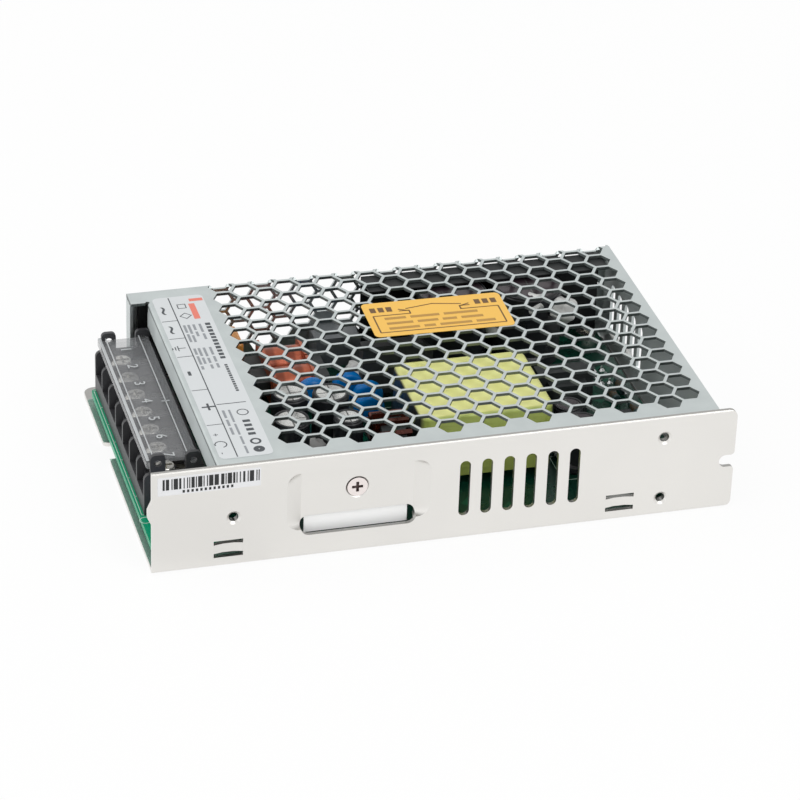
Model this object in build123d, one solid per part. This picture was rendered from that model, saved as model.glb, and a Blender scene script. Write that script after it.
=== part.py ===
from build123d import *
import os

# Mesh case switching power supply, millimetres. Sizes are measured from the corner of the case:
# x from the terminal end, y from the near long wall, z from the underside. The finished pieces
# are moved so that the origin lies at the middle of the underside.

# Overall case
case_length = 159.0
case_width = 97.0
case_height = 30.0

# Chassis sheet and its near wall
chassis_sheet = 1.2
chassis_bend_radius = 1.0
nub_proud = 1.1
nub_bottom = 14.7
nub_top = 21.8
nub_run = 2.4
wall_corner_radius = 2.2
wall_edge_break = 0.3
base_corner_radius = 3.0
base_notch_y = 61.0
base_notch_width = 8.6
base_notch_depth = 6.0
base_notch_radius = 1.6
wall_centre_height = 14.4

# Tapped holes drawn inward through the chassis sheet
tap_bore = 2.6
tap_mouth = 3.9
tap_mouth_depth = 0.5
tap_collar = 4.8
tap_collar_height = 1.0
side_tap_left_x = 22.6
side_tap_tail = 20.0
side_tap_spacing = 18.5
base_tap_length = 120.0
base_tap_width = 74.0

# Open slot at the tail of the near wall
tail_slot_width = 3.6
tail_slot_depth = 4.2
tail_slot_mouth_radius = 1.0

# Upright vents of the near wall
vent_count = 6
vent_pitch = 6.0
vent_first_x = 84.3
vent_width = 2.9
vent_bottom = 7.0
vent_height = 16.6

# Pushed-in panel and the slot under it
panel_x = 55.9
panel_width = 30.2
panel_bottom = 8.6
panel_top = 25.1
panel_slope = 4.2
panel_step = 0.3
panel_wall = 0.9
panel_mouth_radius = 3.6
panel_depth = 2.1
panel_corner_radius = 1.5
panel_slot_width = 31.0
panel_slot_bottom = 6.5
panel_slot_height = 4.7

# Bridge lances that stiffen the foot of the near wall
lance_left_x = 21.2
lance_tail = 31.5
lance_length = 7.8
lance_bottom = 4.0
lance_strip = 2.6
lance_slit = 1.2
lance_depth = 0.5
lance_ramp = 2.4

# Upstanding tabs of the base that take the cover screws
tab_left_x = 28.0
tab_tail = 14.0
tab_width = 10.0
tab_height = 11.0
cover_screw_height = 7.2
cover_screw_tail = 0.15
cover_screw_margin = 1.2

# Mesh cover
cover_sheet = 0.8
cover_drop = 0.3
cover_bend_radius = 0.9
cover_edge_radius = 0.55
cover_left_x = 18.5
cover_tail = 4.6
cover_gap = 0.2
cover_foot = 0.3
lip_depth = 7.4
ear_left_x = 13.9
ear_width = 7.0
ear_relief = 1.2
ear_gap = 0.4
inturn_width = 5.4
inturn_foot = 1.6
near_flange_depth = 2.4
near_flange_margin = 3.0

# Hexagon holes: two sides of each hexagon run along x
hex_flats = 6.1
hex_column_pitch = 6.03
hex_row_pitch = 6.97
hex_end_margin = 5.7
hex_label_gap = 5.9
hex_near_margin = 3.5
hex_bend_offset = 1.75
hex_foot_margin = 4.5

# Upright slots of the end wall
end_slot_count = 5
end_slot_pitch = 6.1
end_slot_far_margin = 9.3
end_slot_width = 3.6
end_slot_bottom = 6.5
end_slot_height = 14.8

# Circuit board, its bosses and the sheets under and beside it
board_left_x = 2.1
board_right_gap = 2.9
board_near_gap = 2.7
board_far_gap = 2.1
board_step_x = 16.4
board_step_depth = 5.7
board_bottom = 3.4
board_sheet = 1.6
board_corner_radius = 1.0
boss_diameter = 5.6
boss_bore = 2.6
boss_inset_x = 4.0
boss_inset_y = 5.0
boss_left_x = 25.0
film_sheet = 0.3
film_margin = 1.0
insulator_sheet = 0.4
insulator_top_gap = 0.6
insulator_gap = 0.3
insulator_fold = 9.0
side_insulator_left_x = 80.5
side_insulator_right_gap = 2.4
input_insulator_left_x = 16.6
input_insulator_right_x = 36.0

# Screws
screw_diameter = 3.0
screw_fit = 0.1
pan_head_diameter = 5.8
pan_head_height = 1.9
board_screw_end_gap = 0.6
flat_head_diameter = 5.2
flat_head_height = 1.3
cross_length = 3.2
cross_width = 0.8
cross_depth = 1.0
flat_cross_length = 3.0
flat_cross_depth = 0.8
sink_reach = 6.0
clamp_screw_tail = 1.5

# Terminal block
terminal_count = 7
terminal_pitch = 9.5
barrier_thickness = 1.2
block_near_y = 20.6
block_left_x = 3.3
block_depth = 16.0
block_ledge_height = 5.3
block_ledge_depth = 2.0
block_floor_height = 8.0
barrier_height = 12.4
barrier_front_radius = 1.8
block_back_thickness = 1.6
block_back_height = 13.8
ear_thickness = 1.2
lid_ear_width = 4.0
lid_ear_front_x = 7.0
lid_ear_rear_x = 16.5
lid_ear_top = 17.9
lid_ear_radius = 1.2
lid_pin_height = 15.4
lid_pin_diameter = 1.8
lid_pin_fit = 0.1
contact_sheet = 0.8
contact_width = 8.0
contact_length = 10.2
contact_pin = 1.0
contact_tail = 1.0

# Terminal screws with their captive square washers
terminal_screw_x = 9.9
terminal_screw_diameter = 3.3
terminal_head_diameter = 6.2
terminal_head_height = 2.0
terminal_washer = 7.0
terminal_washer_sheet = 0.8
terminal_washer_radius = 1.0
terminal_head_bevel = 0.7
terminal_cross_length = 3.84
terminal_screw_length = 4.6
terminal_bore_extra = 0.9

# Clear lid
lid_sheet = 1.0
lid_left_x = 4.0
lid_right_x = 17.9
lid_top = 15.9
lid_skirt = 2.6
lid_skirt_sheet = 0.8
lid_end_gap = 0.15
lid_front_gap = 0.45
lid_front_drop = 0.8
lid_corner_radius = 0.72
lid_skirt_reach = 2.0
lid_skirt_inset = 0.5
lid_skirt_bite = 0.1

# Output adjuster and lamp beside the terminals
trimmer_x = 6.0
trimmer_y = 13.0
trimmer_width = 8.0
trimmer_depth = 5.0
trimmer_height = 9.0
rotor_diameter = 5.0
rotor_proud = 0.6
rotor_end_gap = 0.05
trimmer_bevel = 0.8
rotor_fit = 0.1
rotor_pocket = 2.0
rotor_slot_width = 0.7
rotor_slot_length = 3.6
rotor_slot_depth = 0.8
led_y = 6.6
led_diameter = 3.0
led_length = 4.5
led_flange = 0.9
led_flange_step = 0.4
led_lead = 0.5
led_lead_spacing = 2.0
led_lead_reach = 2.0
led_x = 6.0
led_height = 2.6

# Voltage selector at the far wall
selector_x = 72.5
selector_width = 13.0
selector_depth = 9.0
selector_height = 9.0
selector_window_width = 9.6
selector_window_height = 4.4
selector_knob_width = 4.2
selector_knob_height = 3.4
selector_knob_proud = 0.5
selector_knob_root = 3.0
selector_clear = 0.15
selector_bevel = 0.4
selector_groove_width = 0.4
selector_groove_depth = 0.3

# Power devices clamped behind the panel
pad_sheet = 0.4
pad_margin = 1.2
pad_foot_gap = 0.4
pad_top_inset = 1.5
device_width = 10.2
device_body = 9.2
device_tab_height = 15.6
device_hole_drop = 2.9
device_hole_diameter = 3.6
device_bevel = 0.5
device_thickness = 4.4
device_tab_thickness = 1.3
device_foot = 8.0
device_spacing = 15.0
device_lead_width = 0.9
device_lead_sheet = 0.6
device_lead_pitch = 2.54
clamp_bar_height = 5.0
clamp_bar_sheet = 1.4
clamp_bar_overlap = 6.0
clamp_screw_height = 18.2
clamp_head_diameter = 5.7
clamp_head_height = 1.2
clamp_sink_gap = 0.35

# Round capacitors: middle x and y, diameter, height over the board
output_caps = [
    (47.6, 43.0, 10.0, 19.0),
    (58.4, 41.0, 10.0, 19.0),
    (44.8, 29.6, 10.0, 19.0),
    (60.4, 29.4, 8.0, 18.0),
]
bulk_places = [(104.0, 83.0), (126.0, 83.0)]
bulk_diameter = 20.0
bulk_top_gap = 1.4
auxiliary_caps = [(122.5, 31.5, 8.0, 13.0), (122.5, 20.5, 10.0, 14.0)]
cap_crimp = 0.5
cap_crimp_height = 0.6
cap_foot_share = 0.14
cap_foot_bevel = 0.3
cap_edge = 0.5
cap_vent_share = 1.3
cap_vent_depth = 0.3
cap_vent_width = 0.5

# Blue disc capacitors: middle x and y
disc_caps = [(59.0, 63.4), (69.4, 65.0), (73.6, 58.6), (72.2, 52.0)]
disc_diameter = 8.6
disc_thickness = 3.4
disc_lift = 2.2
disc_lead = 0.7
disc_lead_spacing = 4.5
disc_lead_sink = 1.0
disc_round_share = 0.4

# Taped transformer
transformer_x = 95.9
transformer_y = 33.8
transformer_length = 37.0
transformer_width = 31.0
transformer_top_gap = 2.5
transformer_base_height = 2.7
transformer_base_margin = 0.4
transformer_radius = 3.0
transformer_edge_radius = 1.2
transformer_base_inset = 6.0
transformer_base_lift = 0.8
transformer_base_radius = 1.5
transformer_rail_width = 4.0

# Ring inductor standing on edge
ring_x = 71.2
ring_y = 27.0
ring_outer = 16.0
ring_inner = 9.6
ring_width = 6.5
ring_wire = 1.2
ring_wire_gap = 0.08
ring_turns = 14

# Mains choke with two windings on a rectangular core
choke_x = 54.9
choke_y = 77.0
choke_length = 21.4
choke_leg = 4.4
choke_pitch = 11.2
choke_coil_diameter = 9.6
choke_coil_length = 10.6
choke_flange = 0.9
choke_flange_size = 10.4
choke_lift = 3.2
choke_core_bevel = 0.6
choke_bore_gap = 0.1

# Block-shaped parts
x_cap_x = 36.0
x_cap_y = 86.2
x_cap_length = 15.6
x_cap_width = 11.0
x_cap_height = 14.0
x_cap_radius = 1.0
bridge_x = 84.0
bridge_y = 68.0
bridge_length = 20.0
bridge_thickness = 4.0
bridge_height = 15.0
bridge_chamfer = 3.0
bridge_lift = 2.0
bridge_lead_pitch = 5.08
bridge_lead_width = 1.2
bridge_lead_sheet = 0.8
bridge_lead_sink = 1.0
driver_x = 127.0
driver_y = 50.0
driver_core_length = 16.0
driver_core_width = 4.8
driver_core_height = 12.0
driver_coil_length = 10.8
driver_coil_width = 12.0
driver_coil_height = 7.0
driver_coil_radius = 1.5
driver_lift = 1.6
chip_x = 141.0
chip_y = 31.0
chip_length = 19.3
chip_width = 6.4
chip_height = 3.3
chip_legs = 8
leg_pitch = 2.54
leg_width = 0.6
leg_reach = 0.7
leg_lift = 0.5
opto_length = 6.4
opto_width = 4.6
opto_height = 3.6
opto_places = [(84.0, 57.5), (94.0, 57.5)]
fuse_x = 27.5
fuse_y = 68.0
fuse_diameter = 8.4
fuse_height = 8.0
fuse_radius = 0.8
thermistor_x = 36.0
thermistor_y = 70.0

# Labels
label_sheet = 0.1
rating_left_x = 19.9
rating_width = 14.2
rating_near_y = 4.3
rating_length = 87.4
rating_radius = 1.6
sticker_x = 95.2
sticker_y = 66.9
sticker_length = 39.6
sticker_width = 19.0
sticker_turn = -1.2
sticker_radius = 1.6
barcode_left_x = 2.6
barcode_length = 27.0
barcode_top_gap = 1.2
barcode_height = 5.4

# Worked out from the values above
wall_left_x = nub_proud
cover_right_x = case_length - cover_tail
side_tap_right_x = case_length - side_tap_tail
lance_right_x = case_length - lance_tail
tab_right_x = case_length - tab_tail
base_right_x = cover_right_x - cover_sheet - cover_gap
base_far_y = case_width - cover_sheet - cover_gap
cover_top = case_height - cover_drop
cover_under = cover_top - cover_sheet
cover_near_y = chassis_sheet + cover_gap
far_inner_y = case_width - cover_sheet
board_top = board_bottom + board_sheet
block_length = terminal_count * terminal_pitch + barrier_thickness
block_far_y = block_near_y + block_length
block_floor = board_top + block_floor_height
contact_top = block_floor + contact_sheet
panel_inner_y = panel_depth + chassis_sheet
pad_inner_y = panel_inner_y + pad_sheet
hex_last_x = cover_right_x - hex_end_margin
hex_room = hex_last_x - rating_left_x - rating_width - hex_label_gap
hex_columns = int(hex_room / hex_column_pitch) + 1
hex_first_x = hex_last_x - (hex_columns - 1) * hex_column_pitch
end_slot_first_y = case_width - end_slot_far_margin - (end_slot_count - 1) * end_slot_pitch
board_right_x = base_right_x - board_right_gap
board_near_y = chassis_sheet + board_near_gap
board_far_y = base_far_y - board_far_gap
board_step_y = board_far_y - board_step_depth
insulator_top = cover_under - insulator_top_gap
side_insulator_right_x = base_right_x - side_insulator_right_gap
bulk_height = cover_under - board_top - bulk_top_gap
transformer_top = cover_under - board_top - transformer_top_gap
barcode_bottom = case_height - barcode_top_gap - barcode_height


def place(shape):
    """Moves the solids of a piece from the case corner to the part's origin."""
    shift = Pos(-case_length / 2, -case_width / 2, 0)
    solids = [shift * solid for solid in shape.solids()]
    return solids[0] if len(solids) == 1 else Compound(solids)


def block(x0, x1, y0, y1, z0, z1):
    return Pos((x0 + x1) / 2, (y0 + y1) / 2, (z0 + z1) / 2) * Box(x1 - x0, y1 - y0, z1 - z0)


def wall_plane(y):
    """A sketch plane on an upright wall: its x is the case's x and its y is the case's z."""
    return Plane(origin=(0, y, 0), x_dir=(1, 0, 0), z_dir=(0, -1, 0))


def end_plane(x):
    """A sketch plane across the case: its x is the case's y and its y is the case's z."""
    return Plane(origin=(x, 0, 0), x_dir=(0, 1, 0), z_dir=(1, 0, 0))


def terminal_y(index):
    return block_near_y + barrier_thickness / 2 + (index + 0.5) * terminal_pitch


def group(shapes):
    """Separate solids as one flat group."""
    return Compound([solid for shape in shapes for solid in shape.solids()])


# Chassis


def chassis_profile():
    """The L-shaped section of the sheet, with its bend, seen along x."""
    outline = Polyline(
        (0, 0),
        (base_far_y, 0),
        (base_far_y, chassis_sheet),
        (chassis_sheet, chassis_sheet),
        (chassis_sheet, case_height),
        (0, case_height),
        close=True,
    )
    section = make_face(outline)
    outer = section.vertices().sort_by_distance((0, 0, 0))[0]
    section = fillet(outer, chassis_bend_radius)
    inner = section.vertices().sort_by_distance((chassis_sheet, chassis_sheet, 0))[0]
    section = fillet(inner, chassis_bend_radius / 2)
    upper = section.vertices().sort_by_distance((0, case_height, 0))[0]
    return chamfer(upper, wall_edge_break)


def wall_outline():
    """The near wall as a flat blank, with the nub of its left edge and the open slot of its tail."""
    middle = (nub_bottom + nub_top) / 2
    nub_flat = (nub_top - nub_bottom) / 2 - nub_run
    left_side = Polyline(
        (wall_left_x, 0),
        (wall_left_x, nub_bottom),
        (0, middle - nub_flat),
        (0, middle + nub_flat),
        (wall_left_x, nub_top),
        (wall_left_x, case_height),
        (case_length, case_height),
        (case_length, 0),
        close=True,
    )
    blank = make_face(left_side)
    nub_points = [v for v in blank.vertices() if nub_bottom - 1 < v.Y < nub_top + 1]
    blank = fillet(nub_points, nub_proud)
    corners = [
        v for v in blank.vertices() if v.Y > case_height - 1 or (v.X > case_length - 1 and v.Y < 1)
    ]
    blank = fillet(corners, wall_corner_radius)
    slot_x = case_length - tail_slot_depth + tail_slot_width / 2
    blank -= Pos(slot_x, wall_centre_height) * Circle(tail_slot_width / 2)
    blank -= Pos((slot_x + case_length) / 2, wall_centre_height) * Rectangle(
        case_length - slot_x, tail_slot_width
    )
    mouth = [
        v
        for v in blank.vertices()
        if v.X > case_length - 0.1 and abs(v.Y - wall_centre_height) < tail_slot_width
    ]
    return fillet(mouth, tail_slot_mouth_radius)


def base_outline():
    """The base plate as a flat blank, with its rounded far corner and its edge notch."""
    length = base_right_x - wall_left_x
    blank = Pos(wall_left_x + length / 2, base_far_y / 2) * Rectangle(length, base_far_y)
    far_corners = [v for v in blank.vertices() if v.Y > base_far_y - 1]
    blank = fillet(far_corners, base_corner_radius)
    notch_x = wall_left_x + base_notch_depth / 2
    blank -= Pos(notch_x, base_notch_y) * Rectangle(base_notch_depth, base_notch_width)
    notch_corners = [
        v for v in blank.vertices() if abs(v.Y - base_notch_y) < base_notch_width / 2 + 0.1
    ]
    return fillet(notch_corners, base_notch_radius)


def panel_frustum(growth, start_y, depth):
    """The block of the pushed-in panel from a plane at start_y inward, sloped at both ends."""
    height = panel_top - panel_bottom + 2 * growth
    width = panel_width + 2 * growth
    mouth = RectangleRounded(width + 2 * panel_slope, height + 2 * panel_step, panel_mouth_radius)
    floor = RectangleRounded(width, height, panel_corner_radius)
    spot = Pos(panel_x, (panel_bottom + panel_top) / 2)
    return loft([wall_plane(start_y) * spot * mouth, wall_plane(start_y + depth) * spot * floor])


def slot_tool(width, height, plane, x, z):
    return extrude(plane * Pos(x, z) * SlotOverall(height, width, rotation=90), 10, both=True)


def panel_slot():
    shape = SlotOverall(panel_slot_width, panel_slot_height)
    spot = Pos(panel_x, panel_slot_bottom + panel_slot_height / 2)
    return extrude(wall_plane(0) * spot * shape, 10, both=True)


def lance_window(x):
    height = lance_strip + 2 * lance_slit
    return block(
        x - lance_length / 2,
        x + lance_length / 2,
        -1,
        chassis_sheet + 1,
        lance_bottom - lance_slit,
        lance_bottom - lance_slit + height,
    )


def lance_strip_body(x):
    """The strip between two slits, pushed in and joined to the sheet at both ends."""
    half = lance_length / 2
    top = half - lance_ramp
    deep = chassis_sheet + lance_depth
    outline = Polyline(
        (x - half, 0),
        (x - top, lance_depth),
        (x + top, lance_depth),
        (x + half, 0),
        (x + half, chassis_sheet),
        (x + top, deep),
        (x - top, deep),
        (x - half, chassis_sheet),
        close=True,
    )
    return Pos(0, 0, lance_bottom) * extrude(make_face(outline), lance_strip, dir=(0, 0, 1))


def tap_places():
    """Middle x and z of the tapped holes of the near wall."""
    offset = side_tap_spacing / 2
    return [
        (side_tap_left_x, wall_centre_height),
        (side_tap_right_x, wall_centre_height - offset),
        (side_tap_right_x, wall_centre_height + offset),
    ]


def tap_collar_body():
    """A drawn collar along +z, standing on a sheet whose outer face is at z = 0."""
    return Cylinder(
        tap_collar / 2, chassis_sheet + tap_collar_height, align=(Align.CENTER, Align.CENTER, Align.MIN)
    )


def tap_bore_tool():
    """The bore of a drawn collar with its flared mouth at z = 0."""
    long_bore = Cylinder(tap_bore / 2, 12)
    mouth = Cone(
        tap_mouth / 2, tap_bore / 2, tap_mouth_depth, align=(Align.CENTER, Align.CENTER, Align.MIN)
    )
    return long_bore + mouth


def base_tap_places():
    middle_x = case_length / 2
    middle_y = case_width / 2
    return [
        (middle_x + sx * base_tap_length / 2, middle_y + sy * base_tap_width / 2)
        for sx in (-1, 1)
        for sy in (-1, 1)
    ]


def boss_places():
    """Middle x and y of the board's four screws."""
    right = board_right_x - boss_inset_x
    near = board_near_y + boss_inset_y
    far = board_far_y - boss_inset_y
    return [(boss_left_x, near), (right, near), (boss_left_x, far), (right, far)]


def cover_screw_places():
    """Where the cover screws lie flush in the far wall, with z turned outward."""
    return [Location((x, case_width, cover_screw_height), (-90, 0, 0)) for x in (tab_left_x, tab_right_x)]


def tab_body(x):
    """An upstanding tab of the base just inside the cover's far wall."""
    face = Pos(x, tab_height / 2) * Rectangle(tab_width, tab_height)
    face = fillet([v for v in face.vertices() if v.Y > 1], 1.5)
    return extrude(wall_plane(base_far_y) * face, chassis_sheet)


def make_chassis():
    sheet = extrude(end_plane(0) * chassis_profile(), case_length)
    wall = extrude(wall_plane(0) * wall_outline(), -case_width)
    base = extrude(base_outline(), case_height)
    side = sheet & wall & block(0, case_length, -1, chassis_sheet, 0, case_height)
    floor = sheet & base
    body = side + floor
    body += panel_frustum(panel_wall, chassis_sheet, panel_depth)
    body -= panel_frustum(0, 0, panel_depth)
    body -= panel_slot()
    for i in range(vent_count):
        body -= slot_tool(
            vent_width,
            vent_height,
            wall_plane(0),
            vent_first_x + i * vent_pitch,
            vent_bottom + vent_height / 2,
        )
    for x in (lance_left_x, lance_right_x):
        body -= lance_window(x)
        body += lance_strip_body(x)
    for x, z in tap_places():
        turn = Location((x, 0, z), (-90, 0, 0))
        body += turn * tap_collar_body()
        body -= turn * tap_bore_tool()
    for x, y in base_tap_places():
        body += Pos(x, y, 0) * tap_collar_body()
        body -= Pos(x, y, 0) * tap_bore_tool()
    for x, y in boss_places():
        body += Pos(x, y, board_bottom / 2) * Cylinder(boss_diameter / 2, board_bottom)
        body -= Pos(x, y, 0) * Cylinder(boss_bore / 2, 12)
    for x in (tab_left_x, tab_right_x):
        body += tab_body(x)
    for spot in cover_screw_places():
        body -= spot * sink_tool(flat_head_diameter, flat_head_height, screw_fit)
    body -= clamp_spot() * sink_tool(clamp_head_diameter, clamp_head_height, clamp_sink_gap)
    return body


# Mesh cover


def hex_face():
    """One hexagon with two sides along x."""
    return RegularPolygon(hex_flats / 2, 6, major_radius=False, rotation=0)


def hex_rows(column):
    """Row middles along the unfolded sheet, where the far bend is at the case width."""
    shift = 0.5 * ((hex_columns - 1 - column) % 2)
    count = int((case_width + case_height) / hex_row_pitch) + 2
    first = case_width - hex_bend_offset
    return [first + (row - shift) * hex_row_pitch for row in range(-count, count)]


def stays_solid(x, z):
    """Whether the far wall keeps its metal here, round the selector window and the cover screws."""
    if abs(x - selector_x) < (selector_width + hex_flats) / 2 and z < board_top + selector_height + 2:
        return True
    reach = (hex_flats + flat_head_diameter) / 2 + cover_screw_margin
    spots = [(tab_left_x, cover_screw_height), (tab_right_x, cover_screw_height)]
    return any((x - sx) ** 2 + (z - sz) ** 2 < reach**2 for sx, sz in spots)


def bend_sides():
    """The space on the top's side and on the far wall's side of the bend, split on its diagonal."""
    run = case_width - far_inner_y
    low_y, low_z = far_inner_y - run, cover_under - run
    high_y, high_z = case_width + run, cover_top + run
    above = Polyline((0, low_z), (low_y, low_z), (high_y, high_z), (0, high_z), close=True)
    beyond = Polyline((low_y, -run), (low_y, low_z), (high_y, high_z), (high_y, -run), close=True)
    return [extrude(end_plane(0) * make_face(side), case_length) for side in (above, beyond)]


def hex_tools():
    """Hexagon cutters of the top and of the far wall; those that cross the bend are in both."""
    half = hex_flats / 2
    reach = case_width - far_inner_y
    top_spots = []
    wall_spots = []
    bend_spots = []
    for column in range(hex_columns):
        x = hex_first_x + column * hex_column_pitch
        for run in hex_rows(column):
            z = cover_top - (run - case_width)
            if run - half < cover_near_y + hex_near_margin or z - half < hex_foot_margin:
                continue
            if abs(run - case_width) < half + reach:
                bend_spots.append((x, run, z))
            elif run < case_width:
                top_spots.append((x, run))
            elif not stays_solid(x, z):
                wall_spots.append((x, z))
    above, beyond = bend_sides()
    low = cover_under - reach
    inside_y = far_inner_y - reach
    top_faces = Sketch() + [Pos(x, y) * hex_face() for x, y in top_spots]
    wall_faces = Sketch() + [Pos(x, z) * hex_face() for x, z in wall_spots]
    top_bend = Sketch() + [Pos(x, y) * hex_face() for x, y, z in bend_spots]
    wall_bend = Sketch() + [Pos(x, z) * hex_face() for x, y, z in bend_spots]
    top_tool = Pos(0, 0, low) * extrude(top_faces, 3 * reach, dir=(0, 0, 1))
    wall_tool = extrude(wall_plane(inside_y) * wall_faces, -3 * reach)
    top_bend_tool = Pos(0, 0, low) * extrude(top_bend, 3 * reach, dir=(0, 0, 1)) & above
    wall_bend_tool = extrude(wall_plane(inside_y) * wall_bend, -3 * reach) & beyond
    return [top_tool, wall_tool, top_bend_tool, wall_bend_tool]


def cover_section():
    """Top, far wall and near flange seen along x, with their bends."""
    outline = Polyline(
        (cover_near_y, cover_top),
        (case_width, cover_top),
        (case_width, cover_foot),
        (far_inner_y, cover_foot),
        (far_inner_y, cover_under),
        (cover_near_y, cover_under),
        close=True,
    )
    section = make_face(outline)
    outer = section.vertices().sort_by_distance((case_width, cover_top, 0))[0]
    section = fillet(outer, cover_bend_radius)
    inner = section.vertices().sort_by_distance((far_inner_y, cover_under, 0))[0]
    return fillet(inner, cover_bend_radius / 3)


def near_flange(x0, x1):
    return block(
        x0,
        x1,
        cover_near_y,
        cover_near_y + cover_sheet,
        cover_under - near_flange_depth,
        cover_top - cover_sheet / 2,
    )


def end_wall():
    wall = block(cover_right_x - cover_sheet, cover_right_x, cover_near_y, case_width, cover_foot, cover_top)
    return fillet(wall.edges().filter_by(Axis.Y).sort_by(Axis.Z)[-2:].sort_by(Axis.X)[-1], cover_sheet / 2)


def make_mesh_cover():
    full = extrude(end_plane(ear_left_x) * cover_section(), cover_right_x - ear_left_x)
    ear_near_y = case_width - ear_width
    full -= block(0, cover_left_x, 0, ear_near_y, 0, case_height)
    body = full + end_wall()
    lip_bottom = cover_top - lip_depth
    body += block(
        cover_left_x, cover_left_x + cover_sheet, cover_near_y, ear_near_y, lip_bottom, cover_top
    )
    body += block(
        ear_left_x,
        ear_left_x + cover_sheet,
        case_width - inturn_width,
        far_inner_y + cover_sheet / 2,
        inturn_foot,
        cover_under - ear_gap,
    )
    ear_top = cover_under - ear_gap
    body -= block(ear_left_x - 1, ear_left_x + cover_sheet, 0, far_inner_y, ear_top, cover_under)
    body -= Pos(cover_left_x, ear_near_y, cover_top) * Cylinder(ear_relief / 2, 6)
    margin = near_flange_margin
    recess_left = panel_x - panel_width / 2 - panel_slope
    recess_right = panel_x + panel_width / 2 + panel_slope
    body += near_flange(cover_left_x + margin, recess_left - margin)
    body += near_flange(recess_right + margin, cover_right_x - margin)
    top_edges = body.edges().filter_by(lambda e: e.center().Z > cover_top - 0.01)
    lip_edge = top_edges.filter_by(Axis.Y).filter_by(lambda e: abs(e.center().X - cover_left_x) < 0.01)
    near_edge = top_edges.filter_by(Axis.X).sort_by(Axis.Y)[0]
    body = fillet([*lip_edge, near_edge], cover_edge_radius)
    for tool in hex_tools():
        body -= tool
    for i in range(end_slot_count):
        body -= slot_tool(
            end_slot_width,
            end_slot_height,
            end_plane(cover_right_x),
            end_slot_first_y + i * end_slot_pitch,
            end_slot_bottom + end_slot_height / 2,
        )
    window = Pos(selector_x, board_top + selector_height / 2) * RectangleRounded(
        selector_window_width, selector_window_height, 0.6
    )
    body -= extrude(wall_plane(far_inner_y - 1) * window, -4)
    for spot in cover_screw_places():
        body -= spot * sink_tool(flat_head_diameter, flat_head_height, screw_fit)
    return body


# Screws


def cross_tool(length, depth):
    """A cross recess cut down from z = 0."""
    bar = Pos(0, 0, -depth / 2) * Box(length, cross_width, depth)
    return bar + Rot(0, 0, 90) * bar


def sink_tool(head_diameter, head_height, gap):
    """The countersunk hole of a flat head screw, mouth at z = 0, going down."""
    bore = screw_diameter / 2 + screw_fit
    cone = Pos(0, 0, -head_height / 2) * Cone(bore, head_diameter / 2 + gap, head_height)
    return cone + Pos(0, 0, -sink_reach / 2) * Cylinder(bore, sink_reach)


def flat_screw(head_diameter, head_height, length):
    """A countersunk screw whose flat top lies at z = 0."""
    shank_radius = screw_diameter / 2 - screw_fit
    head = Pos(0, 0, -head_height / 2) * Cone(shank_radius, head_diameter / 2 - screw_fit, head_height)
    shank = Pos(0, 0, -length / 2) * Cylinder(shank_radius, length)
    return head + shank - cross_tool(flat_cross_length, flat_cross_depth)


def clamp_spot():
    """Where the clamp screw lies flush in the pushed-in panel, with z turned outward."""
    return Location((panel_x, panel_depth, clamp_screw_height), (90, 0, 0))


def make_clamp_screw():
    reach = device_thickness + pad_sheet + chassis_sheet + clamp_bar_sheet + clamp_screw_tail
    return clamp_spot() * flat_screw(clamp_head_diameter, clamp_head_height, reach)


def make_board_screws():
    length = board_sheet + board_bottom - board_screw_end_gap
    screw = pan_screw(length)
    return group([Pos(x, y, board_top) * screw for x, y in boss_places()])


def pan_screw(length):
    """A pan head screw whose shank fits a tapped boss."""
    head = Pos(0, 0, pan_head_height / 2) * Cylinder(pan_head_diameter / 2, pan_head_height)
    shank = Pos(0, 0, -length / 2) * Cylinder(boss_bore / 2 - screw_fit, length)
    return head + shank - Pos(0, 0, pan_head_height) * cross_tool(cross_length, cross_depth)


def make_cover_screws():
    length = cover_sheet + cover_gap + chassis_sheet + cover_screw_tail
    screw = flat_screw(flat_head_diameter, flat_head_height, length)
    return group([spot * screw for spot in cover_screw_places()])


# Board and sheets


def board_outline(inset):
    """The board's outline, narrower beside the terminals."""
    outline = Polyline(
        (board_left_x + inset, board_near_y + inset),
        (board_right_x - inset, board_near_y + inset),
        (board_right_x - inset, board_far_y - inset),
        (board_step_x + inset, board_far_y - inset),
        (board_step_x + inset, board_step_y - inset),
        (board_left_x + inset, board_step_y - inset),
        close=True,
    )
    face = make_face(outline)
    return fillet(face.vertices(), board_corner_radius)


def make_circuit_board():
    board = Pos(0, 0, board_bottom) * extrude(board_outline(0), board_sheet, dir=(0, 0, 1))
    for x, y in boss_places():
        board -= Pos(x, y, board_top) * Cylinder(screw_diameter / 2 + screw_fit, 6)
    for i in range(terminal_count):
        board -= Pos(contact_pin_x(), terminal_y(i), board_top) * Cylinder(contact_pin, 6)
    return board


def make_insulating_film():
    film = Pos(0, 0, chassis_sheet) * extrude(board_outline(-film_margin), film_sheet, dir=(0, 0, 1))
    film &= block(wall_left_x, base_right_x, chassis_sheet + 0.6, base_far_y - chassis_sheet - 0.1, 0, 10)
    for x, y in boss_places():
        film -= Pos(x, y, 0) * Cylinder(boss_diameter / 2 + 0.3, 12)
    for x, y in base_tap_places():
        film -= Pos(x, y, 0) * Cylinder(tap_collar / 2 + 0.3, 12)
    notch = Pos(wall_left_x + base_notch_depth / 2 - 0.5, base_notch_y, 0)
    film -= notch * Box(base_notch_depth + 1.6, base_notch_width + 0.6, 12)
    for x in (lance_left_x, lance_right_x):
        film -= Pos(x, 0, 0) * Box(lance_length + 1, 2 * (chassis_sheet + lance_depth + 0.6), 12)
    return film


def upright_sheet(x0, x1):
    """A sheet that stands on the insulating film between the board and the cover's far wall."""
    near = board_far_y + insulator_gap
    return block(x0, x1, near, near + insulator_sheet, chassis_sheet + film_sheet, insulator_top)


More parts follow.
